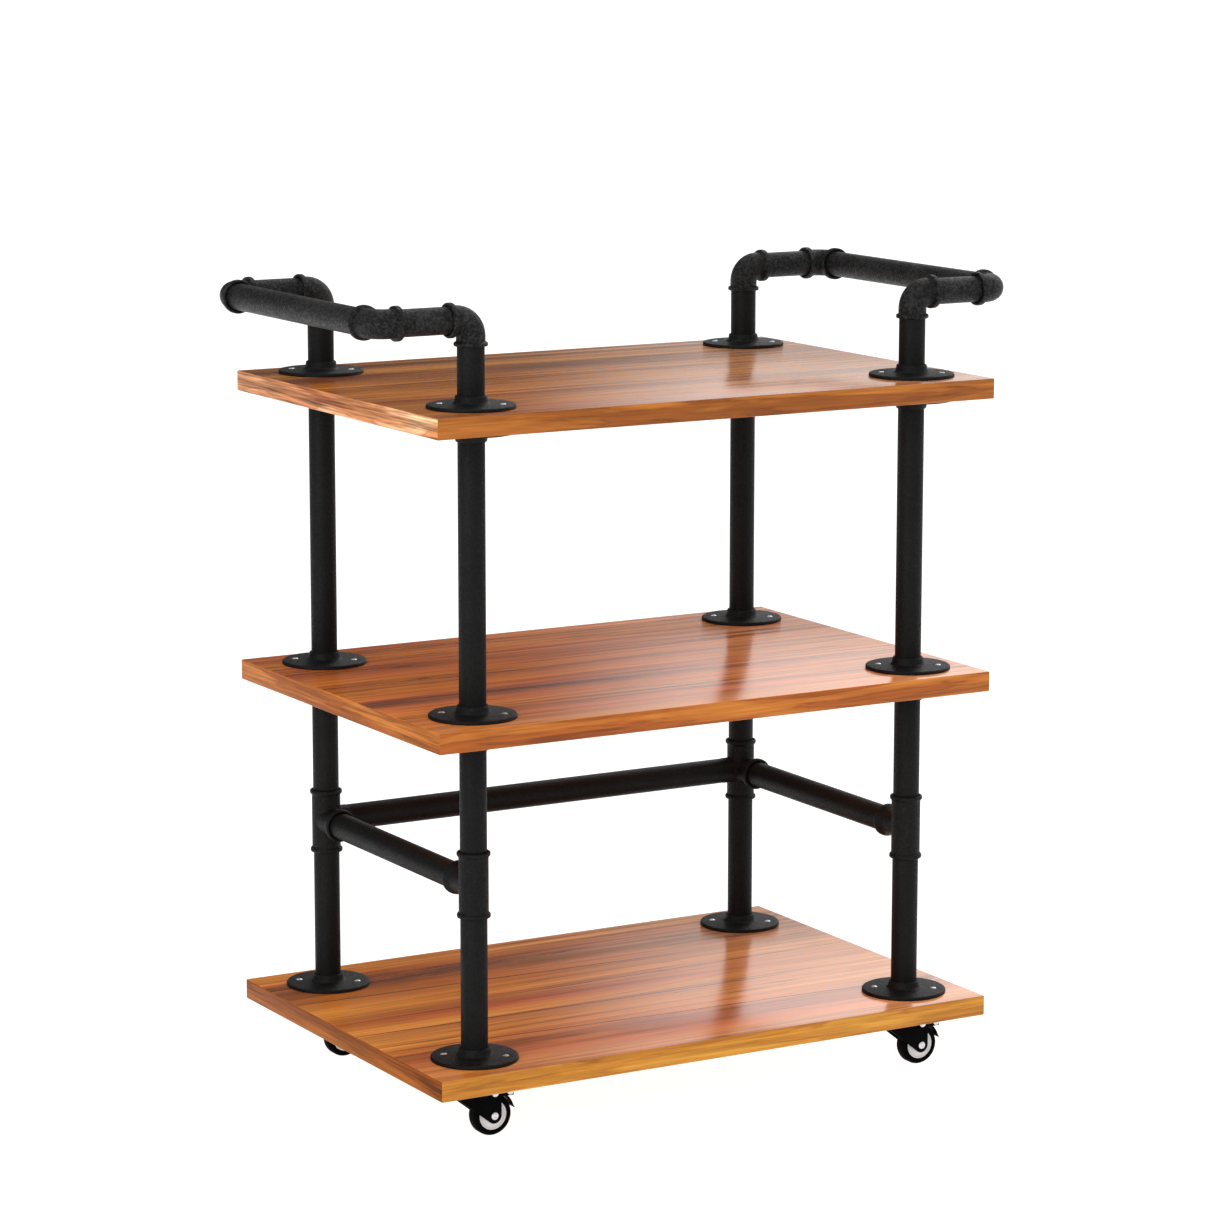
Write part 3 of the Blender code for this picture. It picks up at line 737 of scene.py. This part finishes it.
def screw_shape(lift):
    """An oval-headed screw with a cross cut in it, its rim at a height."""
    corners = [
        (0, lift - 3 * MM, 0),
        (SCREW_HOLE_R - 0.4 * MM, lift - 3 * MM, 0),
        (SCREW_HOLE_R - 0.4 * MM, lift - 1.4 * MM, 0),
        (SCREW_R, lift - 0.1 * MM, 0.1 * MM),
        (SCREW_R * 0.62, lift + 0.75 * MM, 2.2 * MM),
        (0, lift + 0.95 * MM, 0),
    ]
    head = turned(corners, steps=32)
    arm, slot_half, depth = 2.0 * MM, 0.38 * MM, 0.9 * MM
    for reach in ((arm, slot_half), (slot_half, arm)):
        low = (-reach[0], -reach[1], lift + 0.8 * MM - depth)
        head = cut(head, block(low, (reach[0], reach[1], lift + 2 * MM)))
    return head


flange = flange_shape()
screw = screw_shape(FLANGE_THICK)
two_screws = together(*[moved(screw, spot) for spot in screw_spots()])
print(f"a flange has {len(flange.faces)} faces and a screw {len(screw.faces)}")

for corner, spot in post_at.items():
    for level in LEVELS:
        place = spot + Z_AXIS * board_top[level]
        name = f"{level}_flange_{corner}"
        finished(f"floor_{name}", moved(flange, place), cast_paint, stands_for=[name])
        finished(f"screws_{name}", moved(two_screws, place), zinc_finish)
    for level in ("middle", "top"):
        place = spot + Z_AXIS * board_under[level]
        finished(f"under_{level}_flange_{corner}", moved(flange, place, -Z_AXIS), cast_paint)
        finished(f"under_{level}_screws_{corner}", moved(two_screws, place, -Z_AXIS), zinc_finish)
print("floor flanges above and below the boards")

# %% [markdown]
# ## Straight pipes
# A pipe is a tube with a wall. Both ends run a little way into the fittings, where they can't be seen, so
# a plain tube is right. One function makes any pipe from its two visible ends.

# %% Posts, rails, risers and handle bars
PIPE_BORE_R = 10.4 * MM
IN_FITTING = 8 * MM
TEE_RUN = 33 * MM
TEE_BRANCH = 36 * MM
BACK_BRANCH = 24 * MM
ELBOW_END = 25.5 * MM


def pipe(name, start, end, stands_for=(), finish=None):
    """A tube that shows from start to end."""
    way = (end - start).normalized()
    length = (end - start).length
    low, high = -IN_FITTING, length + IN_FITTING
    corners = [
        (PIPE_BORE_R, low, 0),
        (PIPE_R, low, 0.4 * MM),
        (PIPE_R, high, 0.4 * MM),
        (PIPE_BORE_R, high, 0),
    ]
    bm = moved(turned(corners, closed=True), start, way)
    return finished(name, bm, finish or pipe_paint, stands_for=stands_for)


def post_pipe(part, corner, low, high, stands_for=()):
    """A pipe of the post at a corner, between two heights."""
    spot = post_at[corner]
    pipe(f"{part}_pipe_{corner}", spot + Z_AXIS * low, spot + Z_AXIS * high, stands_for)


hub_top = {level: board_top[level] + HUB_HEIGHT for level in LEVELS}
hub_under = {level: board_under[level] - HUB_HEIGHT for level in LEVELS}
for corner, spot in post_at.items():
    post_pipe("lower", corner, hub_top["bottom"], rail_height - TEE_RUN, [f"lower_post_{corner}"])
    post_pipe("middle", corner, rail_height + TEE_RUN, hub_under["middle"], [f"middle_post_{corner}"])
    post_pipe("upper", corner, hub_top["middle"], hub_under["top"], [f"upper_post_{corner}"])
    post_pipe("riser", corner, hub_top["top"], handle_height - ELBOW_END)
    side_x = CORNERS[corner][0]
    start = spot + Z_AXIS * handle_height + X_AXIS * side_x * ELBOW_END
    end = Vector((side_x * (bar_x - ELBOW_END), spot.y, handle_height))
    pipe(f"stub_pipe_{corner}", start, end, finish=pebbled_paint)

post = post_at["back_right"]
for side, name in ((-1, "left"), (1, "right")):
    start = Vector((side * post.x, TEE_BRANCH - post.y, rail_height))
    end = Vector((start.x, -start.y, start.z))
    pipe(f"{name}_side_rail", start, end, [f"{name}_rail"])
    start = Vector((side * bar_x, ELBOW_END - post.y, handle_height))
    end = Vector((start.x, -start.y, start.z))
    pipe(f"{name}_bar", start, end, [f"{name}_handle_bar"], pebbled_paint)
start = Vector((BACK_BRANCH - post.x, post.y, rail_height))
pipe("rear_rail", start, Vector((-start.x, start.y, start.z)), ["back_rail"])
print("pipes made")

# %% [markdown]
# ## Elbows
# An elbow is a bent tube with a thick band round each mouth. A circle is spun a quarter turn round the
# centre of the bend, and then each open ring is pulled out step by step along the mouth's outline: up
# onto the band, over its rounded edges, and back inside as the socket, whose mouth is flared and shows as
# a dark ring round the pipe. The band on the riser is thinner than the others.

# %% Two kinds of elbow, each placed four times
ELBOW_BEND_R = 16 * MM
ELBOW_BODY_R = 14.2 * MM
ELBOW_BAND_R = 17.0 * MM
ELBOW_BAND = 6.6 * MM
THIN_BAND = 4.6 * MM
THIN_BAND_R = ELBOW_BAND_R - 0.5 * MM
FLARE = 1.5 * MM
FLARE_DEPTH = 2.4 * MM


def pull_ring(bm, ring, centre, way, steps):
    """Extrudes an open ring of edges through (radius, distance) steps along a way from a centre."""
    for radius, distance in steps:
        made = bmesh.ops.extrude_edge_only(bm, edges=ring)["geom"]
        ring = [item for item in made if isinstance(item, bmesh.types.BMEdge)]
        for vert in [item for item in made if isinstance(item, bmesh.types.BMVert)]:
            offset = vert.co - centre
            offset -= way * offset.dot(way)
            vert.co = centre + way * distance + offset.normalized() * radius
    bmesh.ops.contextual_create(bm, geom=ring)


def mouth_steps(band_r, band):
    """The outline of a mouth from the body over the band and down the flared mouth into the socket."""
    flank = 1.1 * MM
    corners = [
        (ELBOW_BODY_R, ELBOW_END - band - 2 * MM, 0),
        (ELBOW_BODY_R, ELBOW_END - band, 0.9 * MM),
        (band_r, ELBOW_END - band + flank, 1.2 * MM),
        (band_r, ELBOW_END, 1.2 * MM),
        (SOCKET_R + FLARE, ELBOW_END, 0.2 * MM),
        (SOCKET_R, ELBOW_END - FLARE_DEPTH, 0.3 * MM),
        (SOCKET_R, ELBOW_END - IN_FITTING - MM, 0),
    ]
    return [(point.x, point.y) for point in outline(corners)]


def elbow_shape(first_mouth, last_mouth):
    """An elbow from -Z round to +X, with its axes meeting at the origin."""
    bm = bmesh.new()
    circle = bmesh.ops.create_circle(bm, radius=ELBOW_BODY_R, segments=48, cap_ends=False)["verts"]
    bmesh.ops.translate(bm, vec=(0, 0, -ELBOW_BEND_R), verts=circle)
    first = bm.edges[:]
    spun = bmesh.ops.spin(
        bm,
        geom=circle + first,
        cent=(ELBOW_BEND_R, 0, -ELBOW_BEND_R),
        axis=Y_AXIS,
        angle=math.pi / 2,
        steps=16,
        use_merge=False,
    )["geom_last"]
    last = [item for item in spun if isinstance(item, bmesh.types.BMEdge)]
    pull_ring(bm, first, Vector(), -Z_AXIS, first_mouth)
    pull_ring(bm, last, Vector(), X_AXIS, last_mouth)
    return tidy(bm)


thick_mouth = mouth_steps(ELBOW_BAND_R, ELBOW_BAND)
thin_mouth = mouth_steps(THIN_BAND_R, THIN_BAND)
riser_elbow = elbow_shape(thin_mouth, thick_mouth)
corner_elbow = elbow_shape(thick_mouth, thick_mouth)
print(f"an elbow has {len(corner_elbow.faces)} faces")


def placed_elbow(name, elbow, corner_point, mouth_a, mouth_b, stands_for):
    """An elbow with its -Z mouth turned to mouth_a and its +X mouth to mouth_b."""
    turn = Matrix((mouth_b, -mouth_a.cross(mouth_b), -mouth_a)).transposed()
    copy = elbow.copy()
    bmesh.ops.transform(copy, matrix=Matrix.Translation(corner_point) @ turn.to_4x4(), verts=copy.verts[:])
    bmesh.ops.recalc_face_normals(copy, faces=copy.faces[:])
    return finished(name, copy, pebbled_paint, stands_for=stands_for)


for corner, spot in post_at.items():
    side_x, side_y = CORNERS[corner]
    point = spot + Z_AXIS * handle_height
    outward = X_AXIS * side_x
    node = f"handle_riser_{corner}"
    placed_elbow(f"riser_elbow_{corner}", riser_elbow, point, -Z_AXIS, outward, [node])
    point = Vector((side_x * bar_x, spot.y, handle_height))
    node = f"handle_corner_{corner}"
    placed_elbow(f"corner_elbow_{corner}", corner_elbow, point, -outward, -Y_AXIS * side_y, [node])
print("elbows placed")

# %% [markdown]
# ## Tees
# A tee is a run of pipe with one or two branches standing out of it. Two turned shapes joined by a
# Boolean leave a knife-sharp crease, and a casting has none. So the joined shape is remeshed at a
# fraction of a millimetre and smoothed, which rounds the crease and the bands as sand casting does. The
# sockets are cut afterwards, to keep their edges crisp. The branches for the side rails end in a round
# collar, and those for the back rail are plain stubs.

# %% Tees with one branch and with two
TEE_BODY_R = 14.8 * MM
TEE_BAND_R = 16.7 * MM
TEE_BAND = 5 * MM
COLLAR = 11 * MM
BACK_BRANCH_R = 13.7 * MM
VOXEL = 0.7 * MM
SMOOTHING = 4


def run_shape():
    """A solid round bar along Z with a narrow band at either end."""
    upper = [
        (TEE_BODY_R, TEE_RUN - TEE_BAND, 0.8 * MM),
        (TEE_BAND_R, TEE_RUN - TEE_BAND + MM, 1.0 * MM),
        (TEE_BAND_R, TEE_RUN, 1.2 * MM),
        (0, TEE_RUN, 0),
    ]
    return turned([(r, -z, rounding) for r, z, rounding in reversed(upper)] + upper)


def collared_branch():
    """A solid branch along Z that swells into a round collar at its mouth."""
    return turned(
        [
            (0, 0, 0),
            (TEE_BODY_R - 0.8 * MM, 0, 0),
            (TEE_BODY_R - 0.8 * MM, TEE_BRANCH - COLLAR, 3 * MM),
            (TEE_BAND_R + 0.3 * MM, TEE_BRANCH - COLLAR * 0.45, 2.5 * MM),
            (TEE_BAND_R + 0.3 * MM, TEE_BRANCH, 1.8 * MM),
            (0, TEE_BRANCH, 0),
        ]
    )


def plain_branch():
    """A solid stub along Z, hardly wider than the pipe that it takes."""
    corners = [(0, 0, 0), (BACK_BRANCH_R, 0, 0), (BACK_BRANCH_R, BACK_BRANCH, 0.4 * MM), (0, BACK_BRANCH, 0)]
    return turned(corners)


def tee_shape(branches):
    """A tee with an upright run; each branch is its way, its shape and the distance to its mouth."""
    body = run_shape()
    for way, shape, reach in branches:
        body = join(body, moved(shape, Vector(), way))
    body = with_modifiers(body, ("REMESH", {"mode": "VOXEL", "voxel_size": VOXEL}))
    for _ in range(SMOOTHING):
        bmesh.ops.smooth_vert(
            body, verts=body.verts[:], factor=0.5, use_axis_x=True, use_axis_y=True, use_axis_z=True
        )
    depth = IN_FITTING + MM
    flared = turned(
        [
            (0, -depth, 0),
            (SOCKET_R, -depth, 0),
            (SOCKET_R, -FLARE_DEPTH, 0),
            (SOCKET_R + FLARE, 0, 0),
            (SOCKET_R + FLARE, 2 * MM, 0),
            (0, 2 * MM, 0),
        ]
    )
    plain = turned([(0, -depth, 0), (SOCKET_R, -depth, 0), (SOCKET_R, 2 * MM, 0), (0, 2 * MM, 0)])
    mouths = [moved(flared, way * TEE_RUN, way) for way in (Z_AXIS, -Z_AXIS)]
    for way, shape, reach in branches:
        mouths.append(moved(flared if reach == TEE_BRANCH else plain, way * reach, way))
    return cut(body, together(*mouths))


for corner, spot in post_at.items():
    side_x, side_y = CORNERS[corner]
    branches = [(-Y_AXIS * side_y, collared_branch(), TEE_BRANCH)]
    if side_y > 0:
        branches.append((-X_AXIS * side_x, plain_branch(), BACK_BRANCH))
    tee = moved(tee_shape(branches), spot + Z_AXIS * rail_height)
    print(f"tee {corner}: {len(branches)} branches, {len(tee.faces)} faces")
    finished(f"pipe_tee_{corner}", tee, cast_paint, stands_for=[f"tee_{corner}"])

# %% [markdown]
# ## Casters: the plate
# A square plate is screwed up under the bottom board. A ball race hangs from it and a kingpin with a
# riveted head carries the fork. The plate does not turn, so all of this rides on the cart's frame.

# %% Plate, ball race, kingpin and screws
PLATE_SIDE = 50 * MM
PLATE_THICK = 2.4 * MM
PLATE_SCREW_OFFSET = 19 * MM
RACE_R = 16 * MM
RACE_DROP = 7.2 * MM
TRAIL = axle_at["front_left"].x - post_at["front_left"].x
WEB_DROP = board_under["bottom"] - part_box("caster_fork_front_left")[1].z
SHEET = 1.8 * MM


def plate_shape():
    """The plate and what hangs from it, with the board's underside at height 0."""
    half = PLATE_SIDE / 2
    plate = block((-half, -half, -PLATE_THICK), (half, half, 0))
    uprights = [edge for edge in plate.edges if abs((edge.verts[0].co - edge.verts[1].co).z) > MM]
    bmesh.ops.bevel(
        plate, geom=uprights, offset=4 * MM, segments=6, profile=0.5, affect="EDGES", material=-1
    )
    ease(plate, 0.4 * MM)
    race = [
        (0, -PLATE_THICK + 0.5 * MM, 0),
        (RACE_R, -PLATE_THICK + 0.5 * MM, 0),
        (RACE_R, -PLATE_THICK - 1.2 * MM, 1.0 * MM),
        (RACE_R - 2.5 * MM, -RACE_DROP + 0.1 * MM, 1.5 * MM),
        (4 * MM, -RACE_DROP + 0.1 * MM, 0),
        (4 * MM, -WEB_DROP - SHEET - 0.3 * MM, 0),
        (6.5 * MM, -WEB_DROP - SHEET - 0.3 * MM, 0.3 * MM),
        (5.6 * MM, -WEB_DROP - SHEET - 2.3 * MM, 1.0 * MM),
        (0, -WEB_DROP - SHEET - 2.5 * MM, 0),
    ]
    return join(plate, turned(race, steps=48))


plate = plate_shape()
plate_screw = screw_shape(PLATE_THICK)
plate_screws = together(
    *[
        moved(plate_screw, Vector((sx, sy, 0)) * PLATE_SCREW_OFFSET, -Z_AXIS)
        for sx in (-1, 1)
        for sy in (-1, 1)
    ]
)
for corner, spot in post_at.items():
    place = spot + Z_AXIS * board_under["bottom"]
    node = f"caster_plate_{corner}"
    finished(f"plate_{corner}", moved(plate, place), steel_coat, stands_for=[node])
    finished(f"plate_screws_{corner}", moved(plate_screws, place), zinc_finish)
print(f"the fork hangs {WEB_DROP / MM:.1f} mm under the board and trails {TRAIL / MM:.1f} mm")

# %% [markdown]
# ## Casters: the fork
# The fork is one folded sheet: a web under the race and two legs that narrow from the whole length of the
# web to a round end about the axle. The side view is drawn once, swept across the whole width, and the
# space for the wheel is cut out of it. Its edges are then eased, as pressed steel's are.

# %% Fork and axle
FORK_INNER = 8.6 * MM
FORK_OUTER = FORK_INNER + SHEET
FORK_FRONT = -28 * MM
FORK_FRONT_EDGE = 5 * MM
FORK_END_R = 7.9 * MM
AXLE_HEAD_R = 3.9 * MM
KINGPIN_HOLE_R = 4.4 * MM
PIN_HOLE_R = 2.1 * MM
PIN_RISE = 23.4 * MM
axle_height = axle_at["front_left"].z
web_top = board_under["bottom"] - WEB_DROP - axle_height  # above the axle


def side_view(points, half_width):
    """A shape drawn in X and Z, swept from -half_width to half_width."""
    bm = bmesh.new()
    face = bm.faces.new([bm.verts.new((x, -half_width, z)) for x, z in points])
    swept = bmesh.ops.extrude_face_region(bm, geom=[face])["geom"]
    verts = [item for item in swept if isinstance(item, bmesh.types.BMVert)]
    bmesh.ops.translate(bm, verts=verts, vec=(0, 2 * half_width, 0))
    return tidy(bm)


def arc(radius, start, end, steps):
    """Points (x, z) on an arc about the axle, in degrees."""
    angles = [math.radians(start + (end - start) * i / steps) for i in range(steps + 1)]
    return [(radius * math.cos(a), radius * math.sin(a)) for a in angles]


def rod(radius, half_length, steps):
    """A plain round bar along Z, from -half_length to half_length."""
    corners = [(0, -half_length, 0), (radius, -half_length, 0), (radius, half_length, 0), (0, half_length, 0)]
    return turned(corners, steps=steps)


def fork_shape():
    """The fork about its axle."""
    front = FORK_FRONT - TRAIL
    points = [(front, web_top), (front, web_top - FORK_FRONT_EDGE)]
    points += arc(FORK_END_R, 232, 360, 16)
    points.append((FORK_END_R, web_top))
    fork = side_view(points, FORK_OUTER)
    low = (front - MM, -FORK_INNER, -2 * FORK_END_R)
    high = (FORK_END_R + MM, FORK_INNER, web_top - SHEET)
    fork = cut(fork, block(low, high))
    kingpin_hole = rod(KINGPIN_HOLE_R, 9 * MM, 32)
    fork = cut(fork, moved(kingpin_hole, Vector((-TRAIL, 0, web_top))))
    pin_hole = rod(PIN_HOLE_R, 20 * MM, 24)
    fork = cut(fork, moved(pin_hole, Z_AXIS * PIN_RISE, Y_AXIS))
    return ease(fork, 0.35 * MM)


def axle_shape():
    """The axle with a domed head outside each leg."""
    half = [
        (2.4 * MM, 0, 0),
        (2.4 * MM, FORK_OUTER - 0.2 * MM, 0),
        (AXLE_HEAD_R, FORK_OUTER + 0.02 * MM, 0.2 * MM),
        (AXLE_HEAD_R, FORK_OUTER + 1.0 * MM, 0.7 * MM),
        (2.0 * MM, FORK_OUTER + 1.5 * MM, 0.5 * MM),
        (1.3 * MM, FORK_OUTER + 1.0 * MM, 0.3 * MM),
        (0, FORK_OUTER + 1.0 * MM, 0),
    ]
    corners = [(r, -y, rounding) for r, y, rounding in reversed(half[1:])] + half[1:]
    return moved(turned(corners, steps=40), Vector(), Y_AXIS)


fork = fork_shape()
axle = axle_shape()
for corner, spot in axle_at.items():
    body = f"fork_{corner}"
    node = f"caster_fork_{corner}"
    finished(f"fork_sheet_{corner}", moved(fork, spot), steel_coat, body, [node])
    finished(f"axle_{corner}", moved(axle, spot), zinc_finish, body=body)
print(f"a fork has {len(fork.faces)} faces")

# %% [markdown]
# ## Casters: the wheel
# The wheel is a light grey moulded body with a dished web and a hub, and a black tyre round it with
# rounded shoulders. They are turned separately, because two materials meet there on the real one. Both
# ride on the body that spins.

# %% Tyre and wheel body
TYRE_R = axle_height
TYRE_HALF = 7.6 * MM
RIM_R = 14.9 * MM
WHEEL_HUB_R = 6 * MM


def tyre_shape():
    corners = [
        (RIM_R, -TYRE_HALF + 0.6 * MM, 0.5 * MM),
        (TYRE_R - 1.6 * MM, -TYRE_HALF, 1.6 * MM),
        (TYRE_R, -TYRE_HALF + 3.4 * MM, 3.0 * MM),
        (TYRE_R, TYRE_HALF - 3.4 * MM, 3.0 * MM),
        (TYRE_R - 1.6 * MM, TYRE_HALF, 1.6 * MM),
        (RIM_R, TYRE_HALF - 0.6 * MM, 0.5 * MM),
    ]
    return moved(turned(corners, closed=True, steps=72), Vector(), Y_AXIS)


def wheel_body_shape():
    half = [
        (2.6 * MM, 8.2 * MM, 0),
        (WHEEL_HUB_R, 8.2 * MM, 0.6 * MM),
        (WHEEL_HUB_R + 0.8 * MM, 5.6 * MM, 1.0 * MM),
        (RIM_R - 2.0 * MM, 5.6 * MM, 1.0 * MM),
        (RIM_R - 1.0 * MM, TYRE_HALF - 0.9 * MM, 0.4 * MM),
        (RIM_R - 0.05 * MM, TYRE_HALF - 0.9 * MM, 0.2 * MM),
    ]
    corners = half + [(r, -y, rounding) for r, y, rounding in reversed(half)]
    return moved(turned(corners, closed=True, steps=72), Vector(), Y_AXIS)


tyre = tyre_shape()
wheel_body = wheel_body_shape()
for corner, spot in axle_at.items():
    body = f"wheel_{corner}"
    finished(f"tyre_{corner}", moved(tyre, spot), rubber, body, [f"caster_wheel_{corner}"])
    finished(f"wheel_body_{corner}", moved(wheel_body, spot), grey_plastic, body=body)
print(f"wheels are {2 * TYRE_R / MM:.0f} mm across")

# %% [markdown]
# ## Casters: the brake
# A pressed lever turns on a pin above the wheel. It has a cheek outside each leg, a bridge behind the
# fork and a curved pedal that follows the tyre and comes down near it. Bright rivet heads show on the
# cheeks.

# %% Brake lever and rivets
LEVER_SHEET = 1.5 * MM
LEVER_INNER = FORK_OUTER + 0.3 * MM
LEVER_OUTER = LEVER_INNER + LEVER_SHEET
LEVER_BACK = 20.5 * MM
PEDAL_R = 24.2 * MM
PEDAL_SHEET = 1.5 * MM
PEDAL_HALF = 6.8 * MM
PEDAL_START = 78
PEDAL_END = 16
TIP_ANGLE = math.radians(11)
TIP_LIFT = 1.2 * MM
CHEEK_HALF = 4.2 * MM
CHEEK_FRONT = -5 * MM
RIVET_R = 3.7 * MM
RIVET_BACK = 16.8 * MM


def lever_shape():
    """The lever about the axle."""
    outer = arc(PEDAL_R, PEDAL_START, PEDAL_END, 16)
    inner = arc(PEDAL_R - PEDAL_SHEET, PEDAL_END, PEDAL_START, 16)
    tip = [
        (radius * math.cos(TIP_ANGLE), radius * math.sin(TIP_ANGLE))
        for radius in (PEDAL_R + TIP_LIFT, PEDAL_R - 0.4 * MM)
    ]
    lever = side_view(outer + tip + inner, PEDAL_HALF)
    for side in (-1, 1):
        ends = sorted((side * LEVER_INNER, side * LEVER_OUTER))
        low = (CHEEK_FRONT, ends[0], PIN_RISE - CHEEK_HALF)
        lever = join(lever, block(low, (LEVER_BACK, ends[1], PIN_RISE + CHEEK_HALF)))
    bridge = block(
        (FORK_END_R + 1.5 * MM, -LEVER_OUTER + 0.5 * MM, PIN_RISE - 1.6 * MM),
        (LEVER_BACK - 0.5 * MM, LEVER_OUTER - 0.5 * MM, PIN_RISE + 1.2 * MM),
    )
    return ease(join(lever, bridge), 0.3 * MM)


def rivet_shape(radius, height):
    corners = [
        (0, -0.6 * MM, 0),
        (radius, -0.6 * MM, 0),
        (radius, 0.25 * MM, 0.2 * MM),
        (radius * 0.75, height, radius * 0.6),
        (0, height, 0),
    ]
    return turned(corners, steps=36)


lever = lever_shape()
rivet = rivet_shape(RIVET_R, 1.4 * MM)
rivet_spots = [Vector((0, 0, PIN_RISE)), Vector((RIVET_BACK, 0, PIN_RISE + 0.1 * MM))]
rivets = together(
    *[
        moved(rivet, spot + Y_AXIS * side * LEVER_OUTER, Y_AXIS * side)
        for spot in rivet_spots
        for side in (-1, 1)
    ]
)
for corner, spot in axle_at.items():
    body = f"brake_{corner}"
    node = f"caster_brake_{corner}"
    finished(f"brake_lever_{corner}", moved(lever, spot), steel_coat, body, [node])
    finished(f"brake_rivets_{corner}", moved(rivets, spot), zinc_finish, body=body)
print("brakes made")

# %% [markdown]
# ## Floor and light
# The cart stands on a white floor that runs far enough back to fill the view, as a studio's paper sweep
# does. The floor also glows a little, so that it stays white in the far part that no lamp reaches. Gloss
# needs something to reflect: seen from the camera, the boards mirror the low part of the room behind the
# cart. There the room turns from dark on the left to a bright white wall on the right, and gets brighter
# upwards. Only reflected and scattered light sees that gradient; to the camera itself the room is plain
# white. One lamp at the front left and one overhead light the fronts and the tops.

# %% Floor
FLOOR_REACH = 60


def make_floor():
    floor = Finish("floor")
    shade = floor.noise(floor.place(), 3, detail=2)
    material = floor.use(
        Base_Color=floor.mix(shade, (0.34, 0.34, 0.34, 1), (0.36, 0.36, 0.36, 1)),
        Roughness=0.9,
        Specular_IOR_Level=0.0,
        Emission_Color=(1, 1, 1, 1),
        Emission_Strength=0.93,
    )
    bm = bmesh.new()
    bmesh.ops.create_grid(bm, x_segments=1, y_segments=1, size=FLOOR_REACH)
    mesh = bpy.data.meshes.new("floor")
    bm.to_mesh(mesh)
    bm.free()
    mesh.materials.append(material)
    thing = bpy.data.objects.new("floor", mesh)
    bpy.context.scene.collection.objects.link(thing)


make_floor()
print(f"the floor reaches {FLOOR_REACH} m each way")

# %% Room and lamps


def make_room(plain, dim, bright):
    """A plain room with a dim corner behind the cart on the left and a bright wall on the right."""
    room = Finish("studio", world=True)
    x, y, z = room.split(room.node("ShaderNodeTexCoord", output="Generated"))
    turn = room.math("ARCTAN2", x, y)  # from straight behind the cart towards its right

    def degrees(value, low, high, out_low=0.0, out_high=1.0):
        return room.between(value, math.radians(low), math.radians(high), out_low, out_high)

    climb = room.math("ARCSINE", z)
    wall = degrees(turn, 28, 33) * 0.85 + degrees(turn, 31.5, 36) * 0.15
    wall = wall * degrees(turn, 80, 110, 1, 0) * degrees(climb, 25, 55, 1, 0)
    wall_light = degrees(climb, -4, 30, 0.25, 2.3) * bright
    corner = degrees(turn, -95, -55) * degrees(turn, 80, 110, 1, 0) * degrees(climb, 22, 45, 1, 0)
    strength = wall * wall_light + corner * (dim - plain) + plain
    seen = room.node("ShaderNodeLightPath", output="Is Camera Ray")
    bpy.context.scene.world = room.use(Color=(1, 1, 1, 1), Strength=(1 - seen) * strength + seen)


def soft_box(name, place, target, width, height, power):
    """A rectangular lamp that faces a target and isn't itself seen."""
    data = bpy.data.lights.new(name, "AREA")
    data.shape = "RECTANGLE"
    data.size = width
    data.size_y = height
    data.energy = power
    lamp = bpy.data.objects.new(name, data)
    lamp.location = place
    lamp.rotation_euler = (Vector(target) - Vector(place)).to_track_quat("-Z", "Y").to_euler()
    lamp.visible_camera = False
    bpy.context.scene.collection.objects.link(lamp)


make_room(plain=0.8, dim=0.06, bright=1.05)
soft_box("key_left", place=(-3.6, -2.0, 1.9), target=(0, 0, 0.45), width=2.4, height=2.4, power=70)
soft_box("overhead", place=(-0.3, -0.8, 3.2), target=(0, 0, 0.4), width=2.6, height=2.6, power=15)
print("lights on")

# %% Camera
SENSOR_WIDTH = 36
FOCAL_LENGTH = 123.459
SHIFT = (0.0008, 0.00179)
CAMERA_PLACE = Vector((-2.13575, -3.68768, 1.23479))
AZIMUTH, ELEVATION, ROLL = (math.radians(angle) for angle in (-30.0608, 10.1593, 0.0346))


def make_camera():
    data = bpy.data.cameras.new("camera")
    data.sensor_width = SENSOR_WIDTH
    data.lens = FOCAL_LENGTH
    data.shift_x, data.shift_y = SHIFT
    data.clip_end = 200
    level = Vector((math.sin(AZIMUTH), -math.cos(AZIMUTH), 0))
    back = level * math.cos(ELEVATION) + Z_AXIS * math.sin(ELEVATION)
    right = Vector((math.cos(AZIMUTH), math.sin(AZIMUTH), 0))
    up = back.cross(right)
    rolled_right = right * math.cos(ROLL) + up * math.sin(ROLL)
    rolled_up = up * math.cos(ROLL) - right * math.sin(ROLL)
    turn = Matrix((rolled_right, rolled_up, back)).transposed()
    camera = bpy.data.objects.new("camera", data)
    camera.matrix_world = Matrix.Translation(CAMERA_PLACE) @ turn.to_4x4()
    bpy.context.scene.collection.objects.link(camera)
    bpy.context.scene.camera = camera


make_camera()
bpy.context.scene.view_settings.view_transform = "Standard"
print("camera set")
